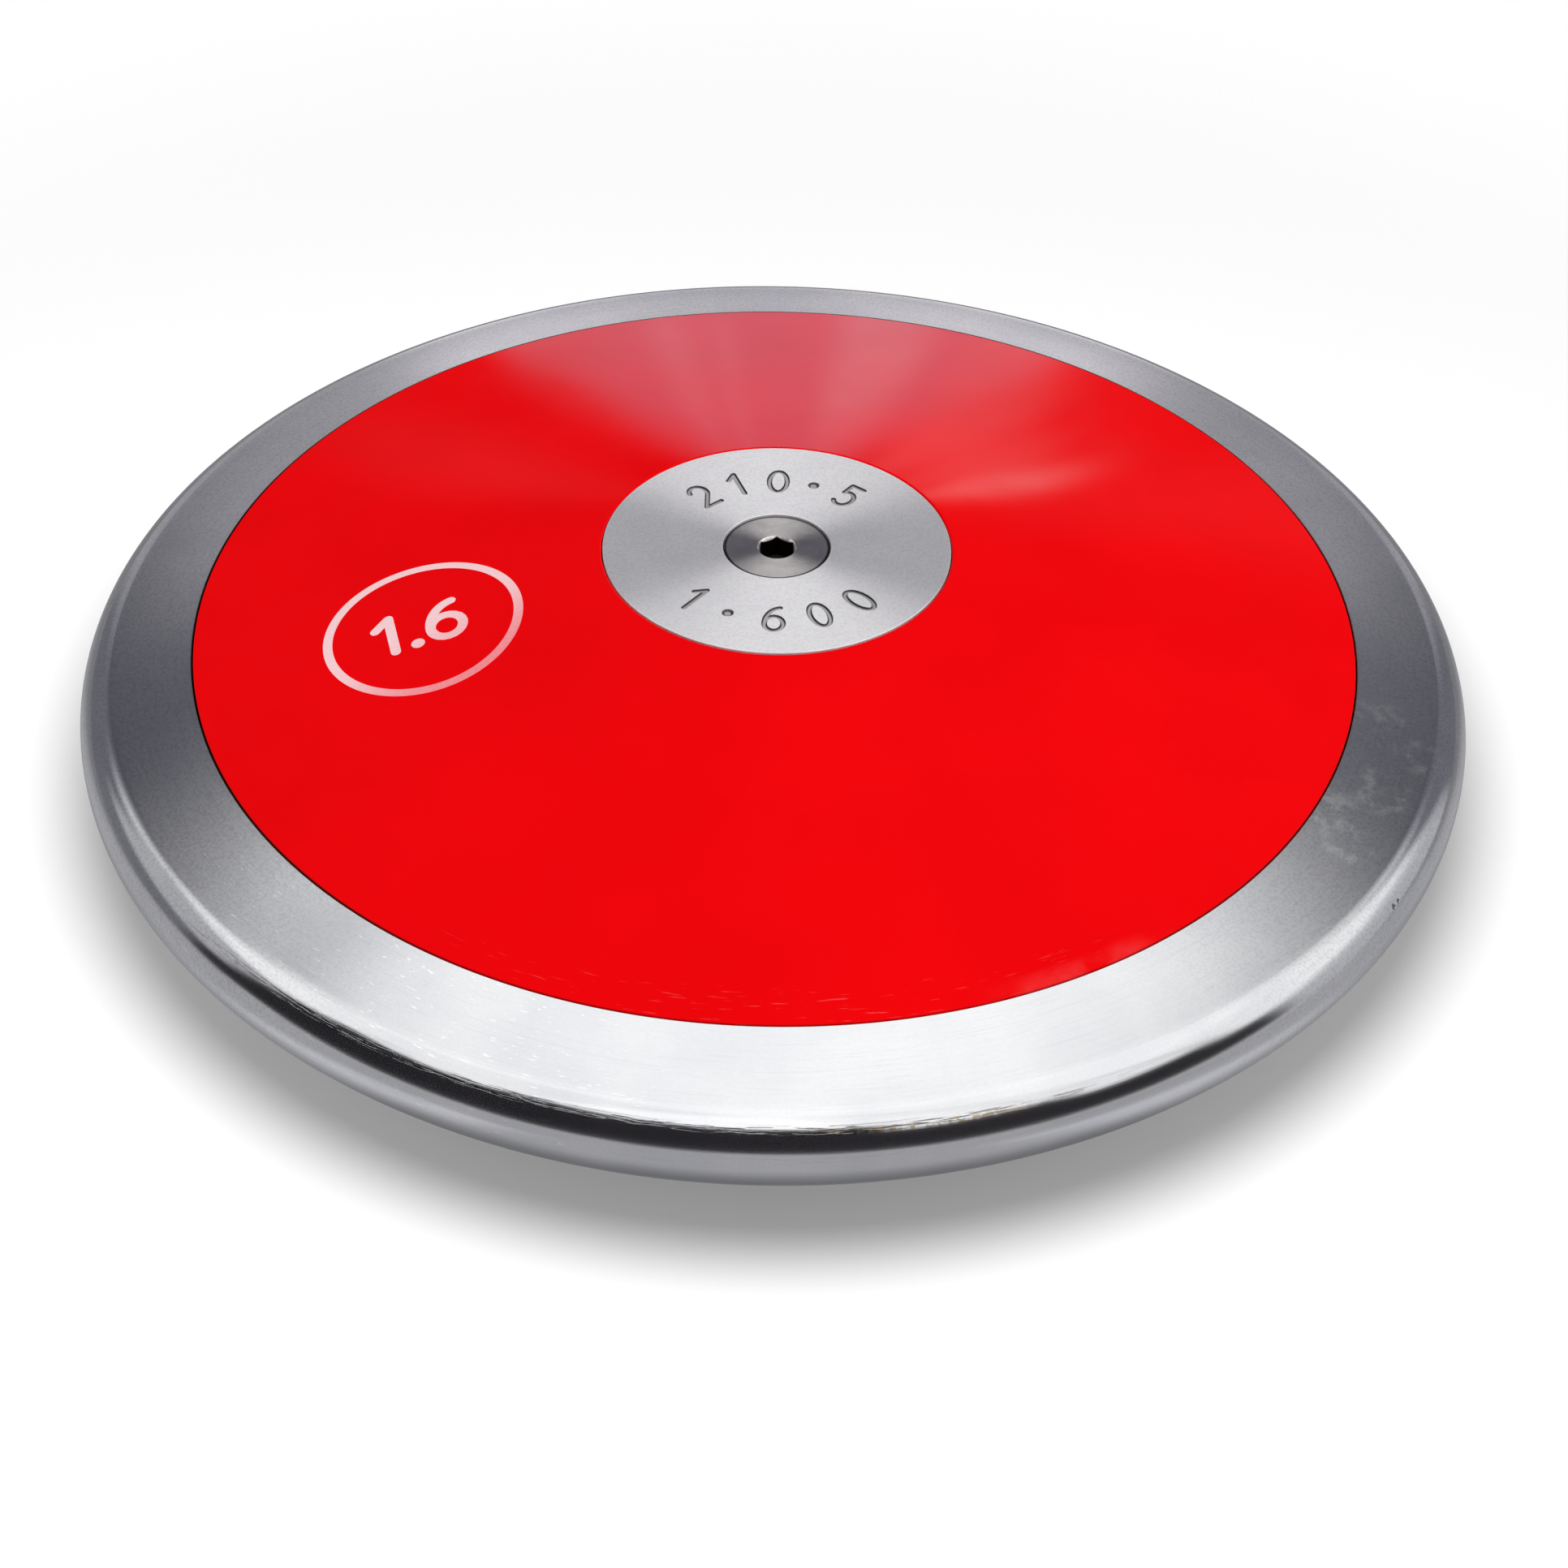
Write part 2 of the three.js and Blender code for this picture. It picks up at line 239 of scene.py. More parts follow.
FLOOR_CARD_SIDE_REACH = (0.15, 0.18)
FLOOR_CARD_SIDE_SHARE = 1.5

# Studio domes: patches of azimuths, elevations, soft edges and colour
DOME_STEPS = 24
DARK_DOME_RADIUS = 4.6
METAL_DOME_RADIUS = 4.4
PLASTIC_DOME_RADIUS = 4.2
METAL_PLAIN = (1, 1, 1)
METAL_ROOM = (
    ((-100, -50), (-10, 21), (5, 4, 6), (0.22, 0.22, 0.24)),
    ((60, 102), (-10, 22), (4, 4, 8), (0.62, 0.62, 0.65)),
    ((102, 270), (2, 60), (4, 4, 1), (0.025, 0.023, 0.027)),
    ((-94, -54), (18, 43), (4, 4, 3), (0.58, 0.58, 0.6)),
    ((54, 94), (18, 44), (4, 4, 3), (0.74, 0.74, 0.76)),
    ((-47, 47), (14, 48), (6, 4, 8), (0.1, 0.1, 0.125)),
    ((-60, -32), (-10, 31), (4, 3, 5), (0.19, 0.19, 0.22)),
    ((32, 61), (-10, 36), (4, 3, 6), (0.2, 0.2, 0.23)),
    ((-36, -11), (-4, 25), (5, 1, 6), (0.45, 0.44, 0.47)),
    ((11, 36), (-4, 25), (5, 1, 6), (0.45, 0.44, 0.47)),
    ((-14.5, 14), (-4, 17), (3, 1, 2), (1.09, 1.05, 1.1)),
    ((-6, 2.5), (-4, 17), (3, 1, 1), (0.8, 0.775, 0.82)),
    ((-31, 31), (37, 48), (6, 3, 4), (0.015, 0.015, 0.02)),
    ((-50, 50), (55, 120), (8, 7, 1), (1.5, 1.5, 1.5)),
    ((62, 108), (26, 120), (6, 6, 1), (1.25, 1.25, 1.25)),
    ((50, 108), (52, 120), (6, 6, 1), (1.4, 1.4, 1.4)),
    ((108, 130), (36, 120), (4, 5, 1), (1.25, 1.25, 1.25)),
    ((130, 158), (46, 120), (4, 4, 1), (1.4, 1.4, 1.4)),
    ((-94, -50), (45, 120), (5, 4, 1), (1.3, 1.3, 1.3)),
    ((-126, -94), (52.5, 120), (4, 2, 1), (1.3, 1.3, 1.3)),
    ((158, 234), (60, 120), (3, 2, 1), (1.55, 1.55, 1.55)),
)
PLASTIC_PLAIN = (0.9, 0.006, 0.01)
PLASTIC_ROOM = (
    ((-19, -13), (16, 22), (3, 3, 2), (0.9, 0.12, 0.13)),
    ((17, 27), (17, 24), (3, 3, 3), (0.9, 0.1, 0.11)),
    ((-8.5, 9), (-5, 12.6), (1.6, 1, 1.6), (0.1, 0.74, 0.97)),
    ((-11, -7.5), (-5, 11.2), (1, 1, 0.8), (0.2, 0.74, 0.9)),
    ((7.5, 11), (-5, 11.5), (1.2, 1, 1), (0.5, 0.82, 0.95)),
    ((2.3, 5.8), (7.5, 11), (1, 1, 1.5), (0.4, 1.3, 1.52)),
    ((-5.2, -3.6), (7.5, 11.5), (0.8, 1, 1.5), (0.3, 1.02, 1.25)),
    ((-2.7, -1.9), (7.5, 12), (0.6, 1, 1.5), (0.2, 0.95, 1.18)),
    ((7.5, 12), (12, 16), (1.5, 1.5, 1.5), (0.9, 0.56, 0.6)),
    ((10.5, 14), (15, 18.5), (1.2, 1.2, 1.2), (1.1, 0.6, 0.64)),
    ((13, 16.3), (17.8, 20.4), (1.2, 1, 0.8), (1.5, 1.9, 1.9)),
)

EDGE_CENTRE = RIM_RADIUS - EDGE_RADIUS
REBATE_RADIUS = RIM_RADIUS - RIM_BAND
TAPER = math.atan2(HALF, EDGE_CENTRE - FLAT_RADIUS) - math.asin(
    EDGE_RADIUS / math.hypot(EDGE_CENTRE - FLAT_RADIUS, HALF)
)
POCKET_RADIUS = FLAT_RADIUS + POCKET_CLEARANCE
POCKET_HEIGHT = PLATE_UNDERSIDE - FLAT_SEAT
FLOOR_UNDERSIDE = POCKET_HEIGHT - POCKET_FLOOR
BOSS_RADIUS = POCKET_RADIUS + BOSS_WALL
FOOT_INNER_RADIUS = SIDE_RADIUS - FOOT_WIDTH


def face_height(radius):
    """Height of the tapered outer face above the middle plane."""
    return HALF - (radius - FLAT_RADIUS) * math.tan(TAPER)


def inner_height(radius):
    """Height of the side plate's inner surface above the middle plane."""
    return face_height(radius) - SHELL / math.cos(TAPER)


def rib_height(radius):
    """Height of the lower edge of the ribs."""
    share = (radius - BOSS_RADIUS) / (FOOT_INNER_RADIUS - BOSS_RADIUS)
    foot_end = inner_height(FOOT_INNER_RADIUS) - RIB_DEPTH_AT_FOOT
    return SKIRT_END + share * (foot_end - SKIRT_END)


# Meshes


def rounded(corners):
    """An outline of (across, up) points from (across, up, rounding) corners."""
    points = []
    for i, (across, up, rounding) in enumerate(corners):
        here = Vector((across, up))
        if not rounding:
            points.append(here)
            continue
        back = (Vector(corners[i - 1][:2]) - here).normalized()
        ahead = (Vector(corners[(i + 1) % len(corners)][:2]) - here).normalized()
        half_angle = back.angle(ahead) / 2
        centre = here + (back + ahead).normalized() * rounding / math.sin(half_angle)
        start = here + back * rounding / math.tan(half_angle) - centre
        turn = start.angle_signed(here + ahead * rounding / math.tan(half_angle) - centre)
        for step in range(ROUND_STEPS + 1):
            spin = Matrix.Rotation(-turn * step / ROUND_STEPS, 2)
            points.append(centre + spin @ start)
    return points


def new_object(name, vertices, faces):
    mesh = bpy.data.meshes.new(name)
    mesh.from_pydata(vertices, [], faces)
    work = bmesh.new()
    work.from_mesh(mesh)
    bmesh.ops.recalc_face_normals(work, faces=work.faces)
    work.to_mesh(mesh)
    work.free()
    made = bpy.data.objects.new(name, mesh)
    bpy.context.scene.collection.objects.link(made)
    return made


def lathe(name, outline, segments):
    """Turns a closed outline of (radius, height) points about the Z axis. Points on the axis become
    one vertex each."""
    vertices = []
    rings = []
    for radius, height in outline:
        count = segments if radius > 0 else 1
        rings.append([len(vertices) + i % count for i in range(segments)])
        for i in range(count):
            angle = 2 * math.pi * i / segments
            vertices.append((radius * math.cos(angle), radius * math.sin(angle), height))
    faces = []
    for ring, following in zip(rings, rings[1:] + rings[:1]):
        for i in range(segments):
            j = (i + 1) % segments
            corners = (ring[i], ring[j], following[j], following[i])
            face = tuple(dict.fromkeys(corners))
            if len(face) > 2:
                faces.append(face)
    return new_object(name, vertices, faces)


def prism(name, outline, bottom, top):
    """Extrudes a closed outline of (x, y) points between two heights."""
    count = len(outline)
    vertices = [(x, y, z) for z in (bottom, top) for x, y in outline]
    sides = [(i, (i + 1) % count, count + (i + 1) % count, count + i) for i in range(count)]
    return new_object(name, vertices, [range(count), range(count, 2 * count), *sides])


def hexagon(across_flats):
    """A hexagon's corners, the first of them towards +Y."""
    radius = across_flats / math.sqrt(3)
    turns = [math.pi / 2 + i * math.pi / 3 for i in range(HEXAGON)]
    return [(radius * math.cos(turn), radius * math.sin(turn)) for turn in turns]


def apply_modifiers(made):
    graph = bpy.context.evaluated_depsgraph_get()
    mesh = bpy.data.meshes.new_from_object(made.evaluated_get(graph))
    made.modifiers.clear()
    old = made.data
    made.data = mesh
    bpy.data.meshes.remove(old)
    mesh.name = made.name


def combine(body, tool, operation):
    """Joins a tool to a body, or cuts it away, and removes the tool."""
    cut = body.modifiers.new(operation.lower(), "BOOLEAN")
    cut.operation = operation
    cut.solver = "MANIFOLD"
    cut.object = tool
    apply_modifiers(body)
    bpy.data.objects.remove(tool)


def dice(made, spacing):
    """Cuts a flat mesh into small squares, so that it can be bent over a curved face."""
    work = bmesh.new()
    work.from_mesh(made.data)
    for axis in (Vector((1, 0, 0)), Vector((0, 1, 0))):
        reaches = [vertex.co.dot(axis) for vertex in work.verts]
        first, last = math.ceil(min(reaches) / spacing), math.floor(max(reaches) / spacing)
        for i in range(first, last + 1):
            everything = [*work.verts, *work.edges, *work.faces]
            bmesh.ops.bisect_plane(work, geom=everything, plane_co=axis * i * spacing, plane_no=axis)
    work.to_mesh(made.data)
    work.free()


def twin(made, name):
    """A copy of an upper piece, still above the middle plane, for the lower side."""
    copy = made.copy()
    copy.data = made.data.copy()
    copy.name = name
    copy.data.name = name
    bpy.context.scene.collection.objects.link(copy)
    return copy


def settle(made, lower=False):
    """Moves a mesh from round the middle plane to its place, turned over for the lower side."""
    turn = Matrix.Rotation(math.pi, 4, "X") if lower else Matrix.Identity(4)
    made.data.transform(Matrix.Translation((0, 0, HALF)) @ turn)


def complete(made, material, slot, *nodes):
    """Shades a piece, and puts it on the discus in place of its CAD nodes."""
    made.data.shade_smooth()
    made.data.set_sharp_from_angle(angle=SHARP_ANGLE)
    weighted = made.modifiers.new("weighted_normals", "WEIGHTED_NORMAL")
    weighted.keep_sharp = True
    made.data.materials.clear()
    made.data.materials.append(material)
    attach(made, "root")
    if nodes:
        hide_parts(*nodes)


# Pieces


def make_rim():
    quarter = math.pi / 2 - TAPER
    edge = []
    for step in range(-EDGE_STEPS, EDGE_STEPS + 1):
        angle = quarter * step / EDGE_STEPS
        edge.append((EDGE_CENTRE + EDGE_RADIUS * math.cos(angle), EDGE_RADIUS * math.sin(angle), 0))
    face_start = edge[-1][0]
    face = []
    for step in range(1, FACE_STEPS):
        share = step / FACE_STEPS
        radius = face_start + (REBATE_RADIUS - face_start) * share
        hollow = 4 * FACE_HOLLOW * share * (1 - share)
        face.append((radius, face_height(radius) - hollow, 0))
    tongue_radius = REBATE_RADIUS - TONGUE_REACH
    upper = [
        *face,
        (REBATE_RADIUS, face_height(REBATE_RADIUS), SEAM_ROUND),
        (REBATE_RADIUS, TONGUE_HALF, INNER_ROUND),
        (tongue_radius + TONGUE_CHAMFER, TONGUE_HALF, 0),
        (tongue_radius, TONGUE_HALF - TONGUE_CHAMFER, 0),
    ]
    lower = [(radius, -height, rounding) for radius, height, rounding in reversed(upper)]
    return lathe("turned_rim", rounded([*edge, *upper, *lower]), RIM_SEGMENTS)


def make_rib(index):
    start = BOSS_RADIUS - BOSS_WALL / 2
    end = FOOT_INNER_RADIUS + FOOT_WIDTH / 2
    buried = SHELL / 2
    outline = [
        (start, SKIRT_END),
        (BOSS_RADIUS, SKIRT_END),
        (FOOT_INNER_RADIUS, rib_height(FOOT_INNER_RADIUS)),
        (end, rib_height(FOOT_INNER_RADIUS)),
        (end, inner_height(end) + buried),
        (start, inner_height(start) + buried),
    ]
    rib = prism("rib", outline, -RIB_THICKNESS / 2, RIB_THICKNESS / 2)
    upright = Matrix.Rotation(math.pi / 2, 4, "X")
    rib.data.transform(Matrix.Rotation(2 * math.pi * index / RIB_COUNT, 4, "Z") @ upright)
    return rib


def make_side_plate():
    ring_radius = (BOSS_RADIUS + FOOT_INNER_RADIUS) / 2
    ring_inner = ring_radius - RIB_THICKNESS / 2
    ring_outer = ring_radius + RIB_THICKNESS / 2
    shell = [
        (0, FLOOR_UNDERSIDE, 0),
        (POCKET_RADIUS, FLOOR_UNDERSIDE, INNER_ROUND),
        (POCKET_RADIUS, SKIRT_END, INNER_ROUND),
        (BOSS_RADIUS, SKIRT_END, INNER_ROUND),
        (BOSS_RADIUS, inner_height(BOSS_RADIUS), INNER_ROUND),
        (ring_inner, inner_height(ring_inner), INNER_ROUND),
        (ring_inner, rib_height(ring_inner), INNER_ROUND),
        (ring_outer, rib_height(ring_outer), INNER_ROUND),
        (ring_outer, inner_height(ring_outer), INNER_ROUND),
        (FOOT_INNER_RADIUS, inner_height(FOOT_INNER_RADIUS), INNER_ROUND),
        (FOOT_INNER_RADIUS, FOOT_HEIGHT, INNER_ROUND),
        (SIDE_RADIUS, FOOT_HEIGHT, INNER_ROUND),
        (SIDE_RADIUS, face_height(SIDE_RADIUS), MOULDED_ROUND),
        (POCKET_RADIUS, face_height(POCKET_RADIUS), INNER_ROUND),
        (POCKET_RADIUS, POCKET_HEIGHT, INNER_ROUND),
        (0, POCKET_HEIGHT, 0),
    ]
    plate = lathe("moulded_side_plate_top", rounded(shell), PLATE_SEGMENTS)
    for index in range(RIB_COUNT):
        combine(plate, make_rib(index), "UNION")
    hole = prism("hole", hexagon(KEY_HOLE_ACROSS_FLATS), 0, HALF)
    combine(plate, hole, "DIFFERENCE")
    return plate


def make_centre_plate():
    sink_foot = SINK_SHOULDER - (SINK_RADIUS - PLATE_HOLE_RADIUS)
    outline = [
        (PLATE_HOLE_RADIUS, PLATE_UNDERSIDE, 0),
        (FLAT_RADIUS, PLATE_UNDERSIDE, TURNED_ROUND),
        (FLAT_RADIUS, HALF, TURNED_ROUND),
        (SINK_RADIUS, HALF, TURNED_ROUND),
        (SINK_RADIUS, SINK_SHOULDER, TURNED_ROUND),
        (PLATE_HOLE_RADIUS, sink_foot, 0),
    ]
    return lathe("turned_centre_plate_top", rounded(outline), PLATE_SEGMENTS)


def make_screw():
    cone_top = SCREW_TOP - HEAD_LAND
    outline = [
        (0, SCREW_TIP, 0),
        (SHANK_RADIUS - TIP_CHAMFER, SCREW_TIP, 0),
        (SHANK_RADIUS, SCREW_TIP + TIP_CHAMFER, 0),
        (SHANK_RADIUS, cone_top - (HEAD_RADIUS - SHANK_RADIUS), INNER_ROUND),
        (HEAD_RADIUS, cone_top, 0),
        (HEAD_RADIUS, SCREW_TOP, TURNED_ROUND),
        (0, SCREW_TOP, 0),
    ]
    body = lathe("socket_screw_top", rounded(outline), SMALL_SEGMENTS)
    floor = SCREW_TOP - SOCKET_DEPTH
    radius = SOCKET_ACROSS_FLATS / 2
    mouth = SOCKET_ACROSS_FLATS / math.sqrt(3)
    combine(body, prism("socket", hexagon(SOCKET_ACROSS_FLATS), floor, HALF), "DIFFERENCE")
    point = [(0, floor - SOCKET_POINT), (radius, floor), (radius, floor + SOCKET_POINT)]
    combine(body, lathe("point", [*point, (0, floor + SOCKET_POINT)], SMALL_SEGMENTS), "DIFFERENCE")
    lead_in = [
        (0, SCREW_TOP - SOCKET_CHAMFER - mouth),
        (mouth, SCREW_TOP - SOCKET_CHAMFER),
        (mouth + SOCKET_CHAMFER, SCREW_TOP),
        (mouth + SOCKET_CHAMFER, HALF),
        (0, HALF),
    ]
    combine(body, lathe("lead_in", lead_in, SMALL_SEGMENTS), "DIFFERENCE")
    return body


# Figures drawn with strokes, in a box one unit high round its centre


def bow(centre, radii, start, stop, steps=20):
    """Points on an ellipse between two angles in degrees."""
    angles = [math.radians(start + (stop - start) * i / steps) for i in range(steps + 1)]
    return [
        Vector((centre[0] + radii[0] * math.cos(a), centre[1] + radii[1] * math.sin(a)))
        for a in angles
    ]


def strokes(figure):
    """The strokes of a figure, each a list of points. A loop ends on its first point."""
    if figure == "1":
        top = Vector((0.04, 0.5))
        return [[Vector((-0.24, 0.24)), top], [top, Vector((0.04, -0.5))]]
    if figure == "2":
        foot = Vector((-0.3, -0.5))
        return [[*bow((0, 0.21), (0.29, 0.29), 165, -40), foot], [foot, Vector((0.31, -0.5))]]
    if figure == "5":
        corner = Vector((-0.2, 0.5))
        bowl = bow((-0.01, -0.17), (0.31, 0.33), 128, -140)
        return [[Vector((0.26, 0.5)), corner], [corner, bowl[0]], bowl]
    if figure == "6":
        return [bow((0, -0.19), (0.3, 0.31), 0, 360), bow((0.24, -0.19), (0.54, 0.69), 180, 96)]
    if figure == "0":
        return [bow((0, 0), (0.3, 0.5), 0, 360)]
    return [[Vector((0, 0))]]


def is_loop(path):
    return len(path) > 2 and (path[0] - path[-1]).length < path[0].length / 1000


def sides_of(path):
    """For each point of a path, the point and the direction to its left."""
    loop = is_loop(path)
    points = path[:-1] if loop else path
    count = len(points)
    found = []
    for i, here in enumerate(points):
        before = points[i - 1] if loop or i > 0 else here
        after = points[(i + 1) % count] if loop or i < count - 1 else here
        along = (after - before).normalized()
        found.append((here, Vector((-along.y, along.x))))
    return found


def swept(path, section):
    """A solid with a section of (leftward, up) points swept along a path in the plane z = 0."""
    vertices = []
    for here, left in sides_of(path):
        for across, up in section:
            spot = here + left * across
            vertices.append((spot.x, spot.y, up))
    size = len(section)
    count = len(vertices) // size
    loop = is_loop(path)
    faces = []
    for i in range(count if loop else count - 1):
        for k in range(size):
            j, m = (i + 1) % count, (k + 1) % size
            faces.append((i * size + k, i * size + m, j * size + m, j * size + k))
    if not loop:
        faces.append(range(size))
        faces.append(range((count - 1) * size, count * size))
    return new_object("stroke", vertices, faces)


def moved(made, spot):
    made.data.transform(Matrix.Translation((spot.x, spot.y, 0)))
    return made


def groove_tools(path):
    """Solids that cut a groove with sloping walls along a path, and round it off at a free end."""
    wide = 2 * STAMP_HALF_WIDTH - STAMP_HALF_FLOOR
    size = DOT_SHARE if len(path) == 1 else 1
    profile = [(STAMP_HALF_FLOOR * size, -STAMP_DEPTH), (wide * size, STAMP_DEPTH)]
    tools = []
    if len(path) > 1:
        section = [*profile, *[(-across, up) for across, up in reversed(profile)]]
        tools.append(swept(path, section))
    if not is_loop(path):
        bead = [(0, -STAMP_DEPTH), *profile, (0, STAMP_DEPTH)]
        ends = [path[0], path[-1]] if len(path) > 1 else path
        tools += [moved(lathe("bead", bead, GROOVE_FACETS), end) for end in ends]
    return tools


def ink_tools(path):
    """Solids one unit thick to each side of z = 0 that cover a printed stroke with round ends."""
    section = [(-PRINT_STROKE, -1), (PRINT_STROKE, -1), (PRINT_STROKE, 1), (-PRINT_STROKE, 1)]
    tools = [swept(path, section)] if len(path) > 1 else []
    if not is_loop(path):
        size = PRINT_STROKE if len(path) > 1 else PRINT_STROKE * PRINT_DOT_SHARE
        puck = [(0, -1), (size, -1), (size, 1), (0, 1)]
        ends = [path[0], path[-1]] if len(path) > 1 else path
        tools += [moved(lathe("puck", puck, GROOVE_FACETS), end) for end in ends]
    return tools


def stamp(plate, figure, radius, degrees, upright, rng):
    """Cuts one figure into the plate's face, its head outwards or, where not upright, inwards."""
    angle = math.radians(degrees)
    spin = angle - math.pi / 2 if upright else angle + math.pi / 2
    spin += rng.uniform(-STAMP_TILT, STAMP_TILT)
    drift = Vector((rng.uniform(-STAMP_DRIFT, STAMP_DRIFT), rng.uniform(-STAMP_DRIFT, STAMP_DRIFT)))
    centre = Vector((radius * math.cos(angle), radius * math.sin(angle))) + drift
    turn = Matrix.Rotation(spin, 2)
    size = Matrix.Diagonal((STAMP_HEIGHT * STAMP_WIDTH_SHARE, STAMP_HEIGHT))
    for path in strokes(figure):
        placed = [centre + turn @ (size @ point) for point in path]
        for tool in groove_tools(placed):
            tool.data.transform(Matrix.Translation((0, 0, HALF)))
            combine(plate, tool, "DIFFERENCE")


def stamp_arcs(plate):
    rng = random.Random(STAMP_SEED)
    for figure, degrees in UPPER_ARC:
        stamp(plate, figure, UPPER_ARC_RADIUS, degrees, True, rng)
    for figure, degrees in LOWER_ARC:
        stamp(plate, figure, LOWER_ARC_RADIUS, degrees, False, rng)


# Shader nodes


class Shader:
    """A material's nodes, with a short call for each kind used."""

    def __init__(self, name):
        self.material = bpy.data.materials.new(name)
        self.material.use_nodes = True
        self.tree = self.material.node_tree
        self.surface = self.tree.nodes["Principled BSDF"]
        self.output = self.tree.nodes["Material Output"]

    def feed(self, socket, value):
        if isinstance(value, bpy.types.NodeSocket):
            self.tree.links.new(value, socket)
        else:
            socket.default_value = value

    def node(self, kind, inputs=None, **settings):
        made = self.tree.nodes.new(kind)
        for key, value in settings.items():
            setattr(made, key, value)
        for key, value in (inputs or {}).items():
            self.feed(made.inputs[key], value)
        return made

    def math(self, operation, *values):
        return self.node("ShaderNodeMath", dict(enumerate(values)), operation=operation).outputs[0]

    def vector(self, operation, *values):
        made = self.node("ShaderNodeVectorMath", dict(enumerate(values)), operation=operation)
        return made.outputs["Value" if operation in ("LENGTH", "DOT_PRODUCT") else "Vector"]

    def part(self, mask, share):
        """A mask cut down to a share of itself, or to where another mask is."""
        return self.math("MULTIPLY", mask, share)

    def scaled(self, vector, factor):
        made = self.node("ShaderNodeVectorMath", {0: vector, "Scale": factor}, operation="SCALE")
        return made.outputs[0]

    def ramp(self, value, low, high, at_low=0.0, at_high=1.0):
        inputs = {0: value, 1: low, 2: high, 3: at_low, 4: at_high}
        made = self.node("ShaderNodeMapRange", inputs, interpolation_type="SMOOTHSTEP")
        return made.outputs[0]

    def mix(self, share, first, second):
        made = self.node("ShaderNodeMix", {0: share, 6: first, 7: second}, data_type="RGBA")
        return made.outputs[2]

    def place(self):
        return self.node("ShaderNodeTexCoord").outputs["Object"]

    def noise(self, vector, scale, detail=2.0, roughness=0.5, w=None):
        inputs = {"Vector": vector, "Scale": scale, "Detail": detail, "Roughness": roughness}
        dimensions = "3D" if w is None else "4D"
        if w is not None:
            inputs["W"] = w
        made = self.node("ShaderNodeTexNoise", inputs, noise_dimensions=dimensions)
        return made.outputs[0]

    def cells(self, vector, scale):
        """A random number for each cell round scattered points."""
        made = self.node("ShaderNodeTexVoronoi", {"Vector": vector, "Scale": scale})
        return self.node("ShaderNodeSeparateColor", {0: made.outputs["Color"]}).outputs[0]

    def bump(self, height, distance, normal=None):
        inputs = {"Height": height, "Distance": distance, "Strength": 1.0}
        if normal is not None:
            inputs["Normal"] = normal
        return self.node("ShaderNodeBump", inputs).outputs[0]


class Turned(Shader):
    """Adds coordinates round the Z axis."""

    def __init__(self, name):
        super().__init__(name)
        x, y, self.height = self.node("ShaderNodeSeparateXYZ", {0: self.place()}).outputs
        flat = self.node("ShaderNodeCombineXYZ", {0: x, 1: y}).outputs[0]
        self.x = x
        self.y = y
        self.radius = self.vector("LENGTH", flat)
        self.around = self.vector("NORMALIZE", flat)
        self.middle = self.math("ABSOLUTE", self.math("SUBTRACT", self.height, HALF))

    def within(self, value, low, high, soft):
        """1 between low and high, falling to 0 over a soft edge centred on each."""
        rise = self.ramp(value, low - soft, low + soft)
        fall = self.ramp(value, high - soft, high + soft, 1.0, 0.0)
        return self.part(rise, fall)

    def sector(self, degrees, half, soft):
        """1 in a sector round the Z axis, so many degrees from +X, with soft sides."""
        middle = math.radians(degrees)
        along = (math.cos(middle), math.sin(middle), 0)
        leftward = (-math.sin(middle), math.cos(middle), 0)
        ahead = self.vector("DOT_PRODUCT", self.place(), along)
        aside = self.vector("DOT_PRODUCT", self.place(), leftward)
        turn = self.math("ARCTAN2", aside, ahead)
        half = math.radians(half)
        return self.within(turn, -half, half, math.radians(soft))

    def near(self, spots):
        """1 close to any of some spots, each given by its place and its reach."""
        found = 0.0
        for *spot, reach in spots:
            away = self.vector("LENGTH", self.vector("SUBTRACT", self.place(), spot))
            found = self.math("MAXIMUM", found, self.ramp(away, reach / 2, reach, 1.0, 0.0))
        return found

    def lines(self, along, across, detail=2.0):
        """Noise drawn out along circles: features per radian along, and per metre across."""
        lift = self.node("ShaderNodeCombineXYZ", {2: self.math("MULTIPLY", self.radius, across)})
        spot = self.vector("ADD", self.scaled(self.around, along), lift.outputs[0])
        return self.noise(spot, 1.0, detail, w=self.math("MULTIPLY", self.height, across))

    def brushed(self, anisotropy, metallic=1.0):
        """Turned metal, rougher across its circular lines than along them."""
        tangent = self.node("ShaderNodeTangent", direction_type="RADIAL", axis="Z")
        self.feed(self.surface.inputs["Tangent"], tangent.outputs[0])
        self.feed(self.surface.inputs["Metallic"], metallic)
        self.feed(self.surface.inputs["Anisotropic"], anisotropy)
        self.feed(self.surface.inputs["Anisotropic Rotation"], 0.25)

    def seam_dirt(self, mask, full, wiped):
        """Dirt on a mask along the seam: full, but wiped at the front and thinner on the right."""
        dirt = self.part(mask, self.ramp(self.sector(*WIPED_AND_LIGHTENED_SECTOR), 0, 1, full, wiped))
        return self.part(dirt, self.ramp(self.sector(*THIN_SECTOR), 0, 1, 1.0, THIN_SHARE))

    def finish(self, colour, roughness, normal):
        self.feed(self.surface.inputs["Base Color"], colour)
        self.feed(self.surface.inputs["Roughness"], roughness)
        self.feed(self.surface.inputs["Normal"], normal)
        return self.material


